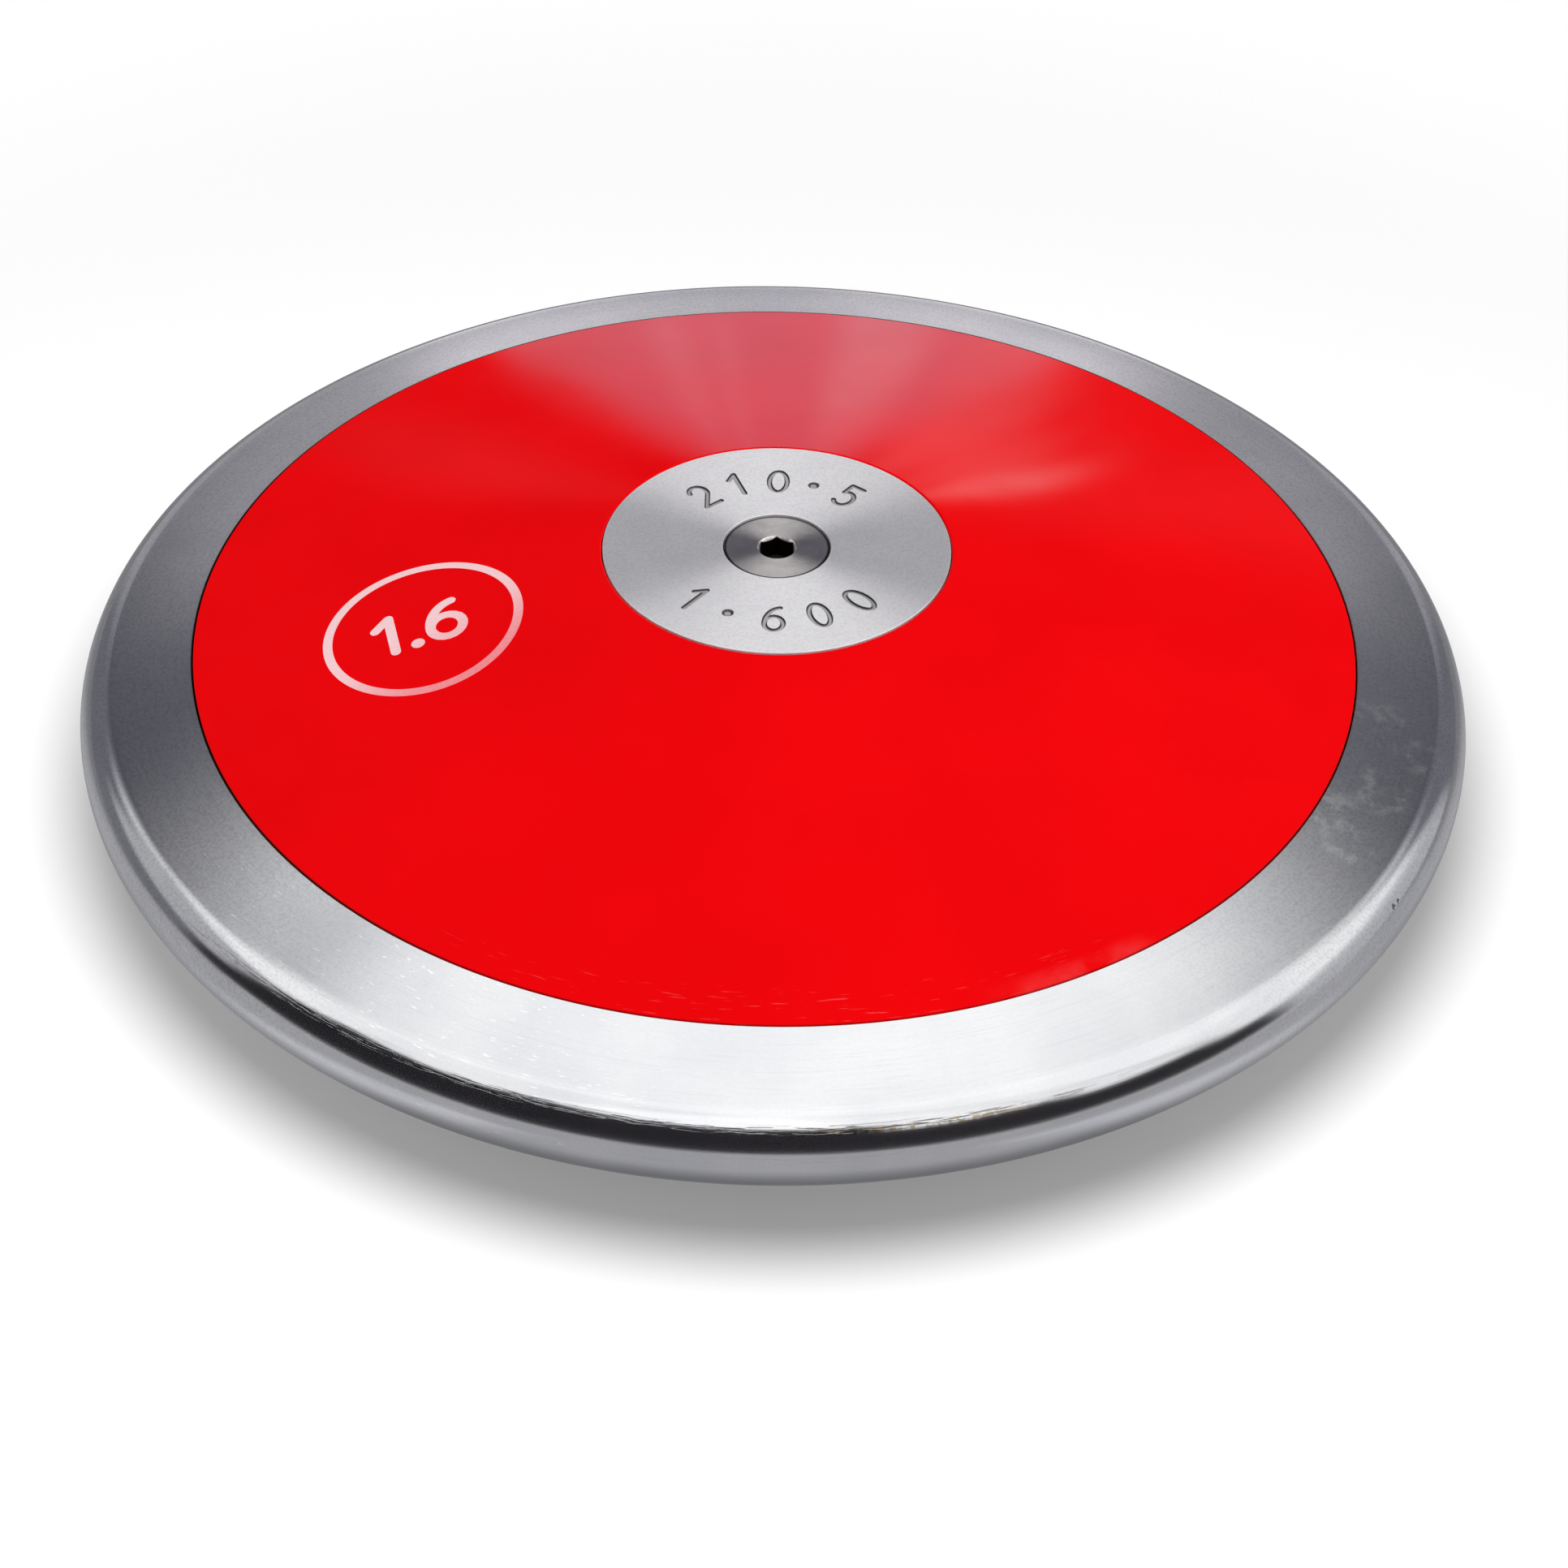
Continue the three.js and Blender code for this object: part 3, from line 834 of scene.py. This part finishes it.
def rim_steel():
    """Steel turned on a lathe, with dirt in the seams. The upper side alone is worn: nicks, rust and
    scratches at the front, and smears and dents on the right. The nicks and dents are painted near
    black as painted shade, and a darker patch lies on the face at the lower left. The dark lines and
    grain are thinned at the front, which paints the front of the face lighter than its sides."""
    s = Turned("turned_steel")
    s.brushed(0.6)
    fine = s.lines(9, 4200, 3)
    cloud = s.noise(s.place(), 60, 3)
    grain = s.noise(s.place(), 2300, 2)
    spokes = s.noise(s.scaled(s.around, 7), 1.0, 3)
    wiped_and_lightened = s.sector(*WIPED_AND_LIGHTENED_SECTOR)
    base = s.mix(s.ramp(cloud, 0.3, 0.7), (0.61, 0.615, 0.635, 1), (0.67, 0.672, 0.68, 1))
    base = s.mix(s.part(s.ramp(spokes, 0.45, 0.75), 0.18), base, (0.5, 0.505, 0.53, 1))
    # In the front sector the dark lines and grain are thinned: painted light, which makes the front of
    # the face lighter than its sides.
    lined = s.part(s.ramp(fine, 0.5, 0.75), s.ramp(wiped_and_lightened, 0, 1, 0.33, 0.2))
    base = s.mix(lined, base, (0.46, 0.47, 0.5, 1))
    grained = s.part(s.ramp(grain, 0.4, 0.7), s.ramp(wiped_and_lightened, 0, 1, 0.45, 0.07))
    base = s.mix(grained, base, (0.42, 0.43, 0.46, 1))

    lift = s.math("SUBTRACT", s.height, HALF)
    upper = s.math("GREATER_THAN", lift, 0)
    scratched = s.part(s.ramp(s.lines(60, 4200, 1), 0.66, 0.74), s.sector(-124, 22, 12))
    base = s.mix(s.part(s.part(scratched, upper), 0.55), base, (0.95, 0.95, 0.96, 1))
    smeared = s.part(s.near(SMEARS), s.ramp(s.noise(s.place(), 330, 6, 0.7), 0.44, 0.68))
    base = s.mix(s.part(smeared, 0.55), base, (0.8, 0.84, 0.77, 1))
    # A darker patch on the face near the edge, at the lower left.
    on_face = s.ramp(s.radius, EDGE_CENTRE, EDGE_CENTRE + DARKER_PATCH_FADE, 1.0, 0.0)
    darker_patch = s.part(s.part(s.sector(-129, 4, 5), on_face), upper)
    base = s.mix(s.part(darker_patch, 0.45), base, (0.3, 0.31, 0.34, 1))

    on_edge = s.within(lift, *NICKED_HEIGHTS, NICKED_SOFT)
    nicked_and_shaded = s.part(s.ramp(s.lines(22, 5200, 4), 0.52, 0.6), on_edge)
    nicked_and_shaded = s.part(nicked_and_shaded, s.sector(-103, 34, 12))
    # The nicks are painted near black: painted shade in the nicks.
    base = s.mix(s.part(nicked_and_shaded, 0.85), base, (0.045, 0.04, 0.04, 1))
    rusted = s.part(s.sector(-80, 8, 4), s.ramp(s.noise(s.place(), 900, 4), 0.42, 0.58))
    rusted = s.part(rusted, s.within(lift, *RUSTED_HEIGHTS, RUSTED_SOFT))
    base = s.mix(s.part(rusted, 0.75), base, (0.34, 0.24, 0.12, 1))
    dented_and_shaded = s.near(DENTS)
    # Painted shade in the dents: they are coloured near black.
    base = s.mix(s.part(dented_and_shaded, 0.85), base, (0.1, 0.1, 0.1, 1))
    inner, outer = (REBATE_RADIUS + SEAM_ROUND * share for share in RIM_DIRT_SHARES)
    grime = s.seam_dirt(s.ramp(s.radius, inner, outer, 1.0, 0.0), 0.75, 0.2)
    base = s.mix(grime, base, (0.13, 0.1, 0.05, 1))

    roughness = s.ramp(s.radius, EDGE_CENTRE, EDGE_CENTRE + EDGE_RADIUS / 2, 0.225, 0.125)
    roughness = s.math("ADD", roughness, s.ramp(s.middle, *POLISHED_HEIGHTS, 0.035, 0.0))
    roughness = s.math("ADD", roughness, s.part(smeared, 0.06))
    normal = s.bump(fine, LINE_DEPTH)
    normal = s.bump(nicked_and_shaded, -NICK_DEPTH, normal)
    normal = s.bump(dented_and_shaded, -DENT_DEPTH, normal)
    return s.finish(base, roughness, normal)


def plate_aluminium():
    """Aluminium faced on a lathe. The walls and floors of the stamped grooves are painted dark, as
    painted shade.
    """
    s = Turned("turned_aluminium")
    s.brushed(0.97, 0.68)
    fine = s.lines(10, 5500, 2)
    cloud = s.noise(s.place(), 150, 3)
    grain = s.noise(s.place(), 2300, 2)
    base = s.mix(s.ramp(cloud, 0.3, 0.7), (0.93, 0.915, 0.94, 1), (0.97, 0.955, 0.975, 1))
    base = s.mix(s.part(s.ramp(fine, 0.5, 0.8), 0.25), base, (0.66, 0.65, 0.68, 1))
    base = s.mix(s.part(s.ramp(grain, 0.4, 0.7), 0.35), base, (0.66, 0.65, 0.69, 1))
    # Painted shade in the stamped grooves: their floors grey, their walls near black.
    low, high = (2 * HALF - STAMP_DEPTH * share for share in GROOVE_WALL_SHARES)
    shaded_wall = s.within(s.height, low, high, STAMP_DEPTH / 8)
    floor = s.math("LESS_THAN", s.height, low)
    in_face = s.within(s.radius, SINK_RADIUS + STAMP_DEPTH, FLAT_RADIUS - STAMP_DEPTH, TURNED_ROUND)
    base = s.mix(s.part(s.part(floor, in_face), 0.6), base, (0.26, 0.25, 0.26, 1))
    base = s.mix(s.part(s.part(shaded_wall, in_face), 0.97), base, (0.06, 0.055, 0.055, 1))
    roughness = s.ramp(fine, 0.3, 0.7, 0.33, 0.37)
    return s.finish(base, roughness, s.bump(fine, FACED_LINE_DEPTH))


def screw_steel():
    """Turned steel, with painted shade in the gap round the head and down in the socket."""
    s = Turned("turned_screw_steel")
    s.brushed(0.97)
    fine = s.lines(12, 6000, 2)
    cloud = s.noise(s.place(), 400, 3)
    base = s.mix(s.ramp(cloud, 0.3, 0.7), (0.9, 0.855, 0.835, 1), (0.99, 0.95, 0.925, 1))
    # Painted shade: near black deeper than these depths under the head's top, in the socket and the gap.
    low, high = (SCREW_TOP - depth for depth in RECESS_SHADE_DEPTHS)
    base = s.mix(s.ramp(s.middle, low, high, 1.0, 0.0), base, (0.05, 0.043, 0.038, 1))
    # Painted shade in a ring at the head's edge, by the gap.
    inner, outer = (HEAD_RADIUS - width for width in HEAD_EDGE_SHADE_WIDTHS)
    base = s.mix(s.part(s.ramp(s.radius, inner, outer), 0.95), base, (0.02, 0.019, 0.018, 1))
    roughness = s.ramp(fine, 0.3, 0.7, 0.23, 0.26)
    return s.finish(base, roughness, s.bump(fine, FACED_LINE_DEPTH))


def side_plastic():
    """Glossy red plastic with a dark seam line, and faint pale scuffs and dust near the front of the
    upper seam."""
    s = Turned("red_abs")
    upper = s.math("GREATER_THAN", s.height, HALF)
    cloud = s.noise(s.place(), 35, 4)
    base = s.mix(s.ramp(cloud, 0.3, 0.7), (0.8, 0.0018, 0.0036, 1), (0.86, 0.002, 0.004, 1))
    scuffed = s.part(s.ramp(s.lines(22, 3200, 3), 0.62, 0.72), s.sector(-88, 26, 12))
    scuffed = s.part(scuffed, s.within(s.radius, SIDE_RADIUS - SCUFFED_WIDTH, SIDE_RADIUS, SCUFFED_SOFT))
    base = s.mix(s.part(s.part(scuffed, upper), 0.25), base, (0.9, 0.2, 0.22, 1))
    dusted = s.part(s.sector(-62, 6, 5), s.ramp(s.noise(s.place(), 130, 4), 0.35, 0.7))
    dusted = s.part(dusted, s.ramp(s.radius, SIDE_RADIUS - DUSTED_WIDTH, SIDE_RADIUS))
    base = s.mix(s.part(s.part(dusted, upper), 0.27), base, (0.95, 0.2, 0.2, 1))
    inner, outer = (SIDE_RADIUS - MOULDED_ROUND * share for share in PLASTIC_DIRT_SHARES)
    grime = s.seam_dirt(s.ramp(s.radius, inner, outer), 0.6, 0.1)
    base = s.mix(grime, base, (0.1, 0.02, 0.01, 1))
    roughness = s.ramp(s.noise(s.place(), 60, 3), 0.3, 0.7, 0.09, 0.12)
    s.feed(s.surface.inputs["Specular Tint"], (1.0, 0.0, 0.0, 1))
    return s.finish(base, roughness, s.bump(cloud, RIPPLE_DEPTH))


def print_ink():
    """White ink, worn thin towards its front right."""
    s = Turned("white_print")
    grain = s.noise(s.place(), 2500, 2)
    across = s.vector("DOT_PRODUCT", s.place(), INK_WORN_TOWARDS)
    thin = s.part(s.ramp(across, *INK_WORN_PLACES), 0.6)
    share = s.math("ADD", thin, s.part(grain, 0.3))
    base = s.mix(share, (0.97, 0.78, 0.81, 1), (0.86, 0.1, 0.13, 1))
    return s.finish(base, s.ramp(grain, 0.3, 0.7, 0.4, 0.5), s.bump(grain, INK_DEPTH))


def zinc_steel():
    """Zinc plated steel with faint spangles."""
    s = Turned("zinc_plate")
    s.feed(s.surface.inputs["Metallic"], 1.0)
    spangle = s.cells(s.place(), 500)
    cloud = s.noise(s.place(), 200, 3)
    base = s.mix(s.part(spangle, 0.6), (0.62, 0.63, 0.64, 1), (0.5, 0.52, 0.55, 1))
    return s.finish(base, s.ramp(cloud, 0.3, 0.7, 0.38, 0.5), s.bump(cloud, RIPPLE_DEPTH))


def black_rubber():
    """Matt black rubber, a little grey in patches."""
    s = Turned("black_rubber")
    grain = s.noise(s.place(), 1500, 3)
    cloud = s.noise(s.place(), 80, 3)
    base = s.mix(s.ramp(cloud, 0.3, 0.7), (0.018, 0.018, 0.019, 1), (0.035, 0.035, 0.036, 1))
    return s.finish(base, s.ramp(cloud, 0.3, 0.7, 0.75, 0.9), s.bump(grain, RUBBER_DEPTH))


# Stage


def place_camera():
    data = bpy.data.cameras.new("camera")
    data.lens = LENS
    data.sensor_width = SENSOR
    camera = bpy.data.objects.new("camera", data)
    bpy.context.scene.collection.objects.link(camera)
    look = (CAMERA_AIM - CAMERA_PLACE).to_track_quat("-Z", "Y").to_matrix()
    turn = look @ Matrix.Rotation(CAMERA_ROLL, 3, "Z")
    camera.matrix_world = Matrix.Translation(CAMERA_PLACE) @ turn.to_4x4()
    bpy.context.scene.camera = camera


def light_world():
    """White to the camera and in reflections, and a plain even light on everything else."""
    world = bpy.data.worlds.new("world")
    bpy.context.scene.world = world
    world.use_nodes = True
    tree = world.node_tree
    path = tree.nodes.new("ShaderNodeLightPath")
    seen = path.outputs["Is Camera Ray"]
    for name in ("Is Glossy Ray", "Is Transmission Ray"):
        either = tree.nodes.new("ShaderNodeMath")
        either.operation = "MAXIMUM"
        tree.links.new(seen, either.inputs[0])
        tree.links.new(path.outputs[name], either.inputs[1])
        seen = either.outputs[0]
    level = tree.nodes.new("ShaderNodeMapRange")
    level.inputs["To Min"].default_value = WORLD_SHARE
    level.inputs["To Max"].default_value = 1.0
    tree.links.new(seen, level.inputs["Value"])
    tree.links.new(level.outputs[0], tree.nodes["Background"].inputs["Strength"])
    tree.nodes["Background"].inputs["Color"].default_value = (1, 1, 1, 1)


def light_only(lamp, receivers):
    """Lets a lamp or a glowing card light these objects and no others."""
    lit = bpy.data.collections.new("lit_by_" + lamp.name)
    for made in receivers:
        lit.objects.link(made)
    lamp.light_linking.receiver_collection = lit


def add_sun(name, azimuth, elevation, share, spread, receivers, shadow=True):
    """A soft lamp that gives a level surface its share of a plain light level. Azimuth 0 is +Y, and
    an elevation under 0 lights from below."""
    data = bpy.data.lights.new(name, "SUN")
    data.energy = share * math.pi / abs(math.sin(math.radians(elevation)))
    data.angle = math.radians(spread)
    data.use_shadow = shadow
    lamp = bpy.data.objects.new(name, data)
    bpy.context.scene.collection.objects.link(lamp)
    lamp.rotation_euler = (math.radians(elevation - 90), 0, math.radians(-azimuth))
    lamp.visible_glossy = False
    light_only(lamp, receivers)


def add_floor_lamp(floor):
    """A round soft lamp above the near side of the discus. It casts the shadow on the floor, lights
    nothing else, and is as bright far away as it is close by."""
    data = bpy.data.lights.new("floor_lamp", "POINT")
    data.energy = FLOOR_LAMP_SHARE * 4 * math.pi**2
    data.shadow_soft_size = FLOOR_LAMP_RADIUS
    data.use_nodes = True
    tree = data.node_tree
    falloff = tree.nodes.new("ShaderNodeLightFalloff")
    falloff.inputs["Strength"].default_value = 1.0
    tree.links.new(falloff.outputs["Constant"], tree.nodes["Emission"].inputs["Strength"])
    lamp = bpy.data.objects.new("floor_lamp", data)
    bpy.context.scene.collection.objects.link(lamp)
    lamp.location = FLOOR_LAMP_PLACE
    lamp.visible_glossy = False
    light_only(lamp, [floor])


def circle(radius, height=0):
    """Points round the Z axis."""
    turns = [2 * math.pi * i / CIRCLE_SEGMENTS for i in range(CIRCLE_SEGMENTS)]
    return [(radius * math.cos(turn), radius * math.sin(turn), height) for turn in turns]


def disc(name, radius, height):
    """A flat round sheet, facing up."""
    made = new_object(name, circle(radius), [range(CIRCLE_SEGMENTS)])
    made.location.z = height
    return made


def make_floor():
    """A pale floor that fades into the background, a little darker where the lamp is nearer."""
    floor = disc("floor", FLOOR_RADIUS, -FLOOR_GAP)
    s = Turned("pale_floor")
    lamp_foot = (FLOOR_LAMP_PLACE[0], FLOOR_LAMP_PLACE[1], 0)
    away = s.vector("LENGTH", s.vector("SUBTRACT", s.place(), lamp_foot))
    cloud = s.part(s.noise(s.place(), FLOOR_MOTTLE_SCALE), FLOOR_MOTTLE_SHARE)
    pale = s.math("ADD", s.ramp(away, *FLOOR_LAMP_REACH, *FLOOR_COLOURS), cloud)
    s.feed(s.surface.inputs["Base Color"], pale)
    s.feed(s.surface.inputs["Roughness"], 0.9)
    s.feed(s.surface.inputs["Specular IOR Level"], 0.0)
    faded = s.ramp(s.radius, FLOOR_FADE, FLOOR_RADIUS)
    below = s.node("ShaderNodeNewGeometry").outputs["Backfacing"]
    clear = s.node("ShaderNodeBsdfTransparent").outputs[0]
    share = s.math("MAXIMUM", faded, below)
    mixed = s.node("ShaderNodeMixShader", {0: share, 1: s.surface.outputs[0], 2: clear})
    s.feed(s.output.inputs["Surface"], mixed.outputs[0])
    floor.data.materials.append(s.material)
    floor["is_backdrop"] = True
    return floor


def seen_only_by(made, glossy=False, diffuse=False):
    """Leaves a studio card to reflections or to bounced light alone."""
    made.visible_camera = False
    made.visible_glossy = glossy
    made.visible_diffuse = diffuse
    made.visible_shadow = False
    made.visible_transmission = False
    made.visible_volume_scatter = False
    made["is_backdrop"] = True


def add_underside_shade():
    """A dark cone just under the lower side plate, there for light from the floor alone. It keeps
    the plate's colour out of the shadow, and the plate itself sees through it."""
    outer = (SIDE_RADIUS, HALF - face_height(SIDE_RADIUS) - FLOOR_GAP)
    inner = (FLAT_RADIUS, -FLOOR_GAP / 2)
    faces = []
    for i in range(CIRCLE_SEGMENTS):
        j = (i + 1) % CIRCLE_SEGMENTS
        faces.append((i, j, CIRCLE_SEGMENTS + j, CIRCLE_SEGMENTS + i))
    shade = new_object("underside_shade", circle(*inner) + circle(*outer), faces)
    s = Turned("underside_shade")
    dark = s.node("ShaderNodeEmission", {"Strength": 0.0}).outputs[0]
    clear = s.node("ShaderNodeBsdfTransparent").outputs[0]
    from_above = s.node("ShaderNodeNewGeometry").outputs["Backfacing"]
    mixed = s.node("ShaderNodeMixShader", {0: from_above, 1: dark, 2: clear})
    s.feed(s.output.inputs["Surface"], mixed.outputs[0])
    shade.data.materials.append(s.material)
    seen_only_by(shade, diffuse=True)


def add_floor_card():
    """A grey card round the discus that dims what its lower edge reflects of the floor."""
    card = disc("floor_card", FLOOR_CARD_RADIUS, FLOOR_CARD_HEIGHT)
    s = Turned("floor_card")
    level = s.ramp(s.radius, *FLOOR_CARD_RISE, *FLOOR_CARD_LEVELS)
    level = s.part(level, s.ramp(s.y, *FLOOR_CARD_FADE, 1.0, FLOOR_CARD_FAR_SHARE))
    beside = s.within(s.math("ABSOLUTE", s.x), *FLOOR_CARD_SIDES, FLOOR_CARD_SIDE_SOFT)
    beside = s.part(beside, s.ramp(s.radius, *FLOOR_CARD_SIDE_REACH, 1.0, 0.0))
    level = s.part(level, s.ramp(beside, 0, 1, 1.0, FLOOR_CARD_SIDE_SHARE))
    glow = s.node("ShaderNodeEmission", {"Color": (1, 1, 1.04, 1), "Strength": level}).outputs[0]
    clear = s.node("ShaderNodeBsdfTransparent").outputs[0]
    shown = s.ramp(s.radius, SIDE_RADIUS, FLOOR_CARD_RISE[0])
    below = s.node("ShaderNodeNewGeometry").outputs["Backfacing"]
    shown = s.part(shown, s.math("SUBTRACT", 1.0, below))
    mixed = s.node("ShaderNodeMixShader", {0: shown, 1: clear, 2: glow})
    s.feed(s.output.inputs["Surface"], mixed.outputs[0])
    card.data.materials.append(s.material)
    seen_only_by(card, glossy=True)


def patch_mask(s, azimuths, elevations, soft):
    """1 on a patch of the dome between two azimuths and two elevations. Soft is the half width of
    its edges: sides, bottom and top."""
    side, bottom, top = soft
    low, high = (math.radians(elevation) for elevation in elevations)
    bottom, top = math.radians(bottom), math.radians(top)
    across = s.sector(90 - sum(azimuths) / 2, (azimuths[1] - azimuths[0]) / 2, side)
    elevation = s.math("ARCTAN2", s.height, s.radius)
    above = s.ramp(elevation, low - bottom, low + bottom)
    below = s.ramp(elevation, high - top, high + top, 1.0, 0.0)
    return s.part(across, s.part(above, below))


def add_dome(name, reach, plain, patches=(), receivers=None):
    """A studio dome for reflections alone: a plain level with patches of other levels laid over it
    one after another. With receivers it adds to the domes behind it, in what they reflect."""
    arc = [math.radians(-90 + 180 * i / DOME_STEPS) for i in range(DOME_STEPS + 1)]
    outline = [(reach * math.cos(a), reach * math.sin(a)) for a in arc[1:-1]]
    dome = lathe(name, [(0, -reach), *outline, (0, reach)], 2 * DOME_STEPS)
    dome.location.z = HALF
    s = Turned(name)
    level = (*plain, 1)
    for azimuths, elevations, soft, colour in patches:
        level = s.mix(patch_mask(s, azimuths, elevations, soft), level, (*colour, 1))
    shown = s.node("ShaderNodeEmission", {"Color": level}).outputs[0]
    if receivers:
        clear = s.node("ShaderNodeBsdfTransparent").outputs[0]
        shown = s.node("ShaderNodeAddShader", {0: shown, 1: clear}).outputs[0]
        light_only(dome, receivers)
    s.feed(s.output.inputs["Surface"], shown)
    s.material.cycles.emission_sampling = "NONE"
    dome.data.materials.append(s.material)
    seen_only_by(dome, glossy=True)


def make_print():
    """A thin layer of ink on the taper: a ring with a plain number in it."""
    baseline = math.atan2(-PRINT_CENTRE.y, -PRINT_CENTRE.x)
    ring = []
    for radius in (PRINT_INNER, PRINT_OUTER):
        for i in range(CIRCLE_SEGMENTS):
            angle = 2 * math.pi * i / CIRCLE_SEGMENTS
            ring.append(PRINT_CENTRE + radius * Vector((math.cos(angle), math.sin(angle))))
    count = len(ring)
    half = count // 2
    vertices = [(*spot, level) for level in (-1, 1) for spot in ring]
    faces = []
    for i in range(half):
        j = (i + 1) % half
        faces.append((i, j, half + j, half + i))
        faces.append((count + i, count + j, count + half + j, count + half + i))
        faces.append((i, j, count + j, count + i))
        faces.append((half + i, half + j, count + half + j, count + half + i))
    made = new_object("white_printed_ring", vertices, faces)
    turn = Matrix.Rotation(baseline, 2)
    for figure, place in PRINT_PLACE_SHARES:
        for path in strokes(figure):
            shifted = [point + Vector(place) for point in path]
            placed = [PRINT_CENTRE + turn @ (point * PRINT_FIGURE) for point in shifted]
            for tool in ink_tools(placed):
                combine(made, tool, "UNION")
    dice(made, PRINT_DICE)
    for vertex in made.data.vertices:
        radius = math.hypot(vertex.co.x, vertex.co.y)
        proud = PRINT_PROUD if vertex.co.z > 0 else -PRINT_PROUD
        vertex.co.z = face_height(radius) + proud
    return made


steel = rim_steel()
aluminium = plate_aluminium()
screw = screw_steel()
plastic = side_plastic()
zinc = zinc_steel()
rubber = black_rubber()

place_camera()

rim = make_rim()
settle(rim)
complete(rim, steel, "rim_steel", "rim")

upper_plate = make_side_plate()
lower_plate = twin(upper_plate, "moulded_side_plate_bottom")
upper_disc = make_centre_plate()
lower_disc = twin(upper_disc, "turned_centre_plate_bottom")
stamp_arcs(upper_disc)
upper_screw = make_screw()
lower_screw = twin(upper_screw, "socket_screw_bottom")
for made, lower, material, slot, node in (
    (upper_plate, False, plastic, "side_plate_plastic", "side_plate_top"),
    (lower_plate, True, plastic, "side_plate_plastic", "side_plate_bottom"),
    (upper_disc, False, aluminium, "centre_plate_aluminium", "centre_plate_top"),
    (lower_disc, True, aluminium, "centre_plate_aluminium", "centre_plate_bottom"),
    (upper_screw, False, screw, "screw_steel", "centre_screw_top"),
    (lower_screw, True, screw, "screw_steel", "centre_screw_bottom"),
):
    settle(made, lower)
    complete(made, material, slot, node)

printed = make_print()
settle(printed)
complete(printed, print_ink(), "side_plate_plastic")

for name, material in (
    ("core_hub", zinc),
    ("trim_washer_1", zinc),
    ("trim_washer_2", zinc),
    ("trim_washer_3", zinc),
    ("packing_ring_top", rubber),
    ("packing_ring_bottom", rubber),
):
    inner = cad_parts[name]
    inner.data.materials.clear()
    inner.data.materials.append(material)

metals = [rim, upper_disc, lower_disc, upper_screw, lower_screw]
plastics = [upper_plate, lower_plate, printed]
floor = make_floor()
light_world()
add_sun("key", *KEY_SUN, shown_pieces())
add_sun("sky", *SKY_SUN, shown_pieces())
add_sun("underside_fill", *UNDERSIDE_SUN, [lower_plate, lower_disc, lower_screw], shadow=False)
add_sun("floor_fill", *FLOOR_SUN, [floor], shadow=False)
add_floor_lamp(floor)
add_underside_shade()
add_floor_card()
add_dome("studio_dark", DARK_DOME_RADIUS, (0, 0, 0))
add_dome("metal_room", METAL_DOME_RADIUS, METAL_PLAIN, METAL_ROOM, metals)
add_dome("plastic_room", PLASTIC_DOME_RADIUS, PLASTIC_PLAIN, PLASTIC_ROOM, plastics)

bpy.context.scene.view_settings.view_transform = "Standard"
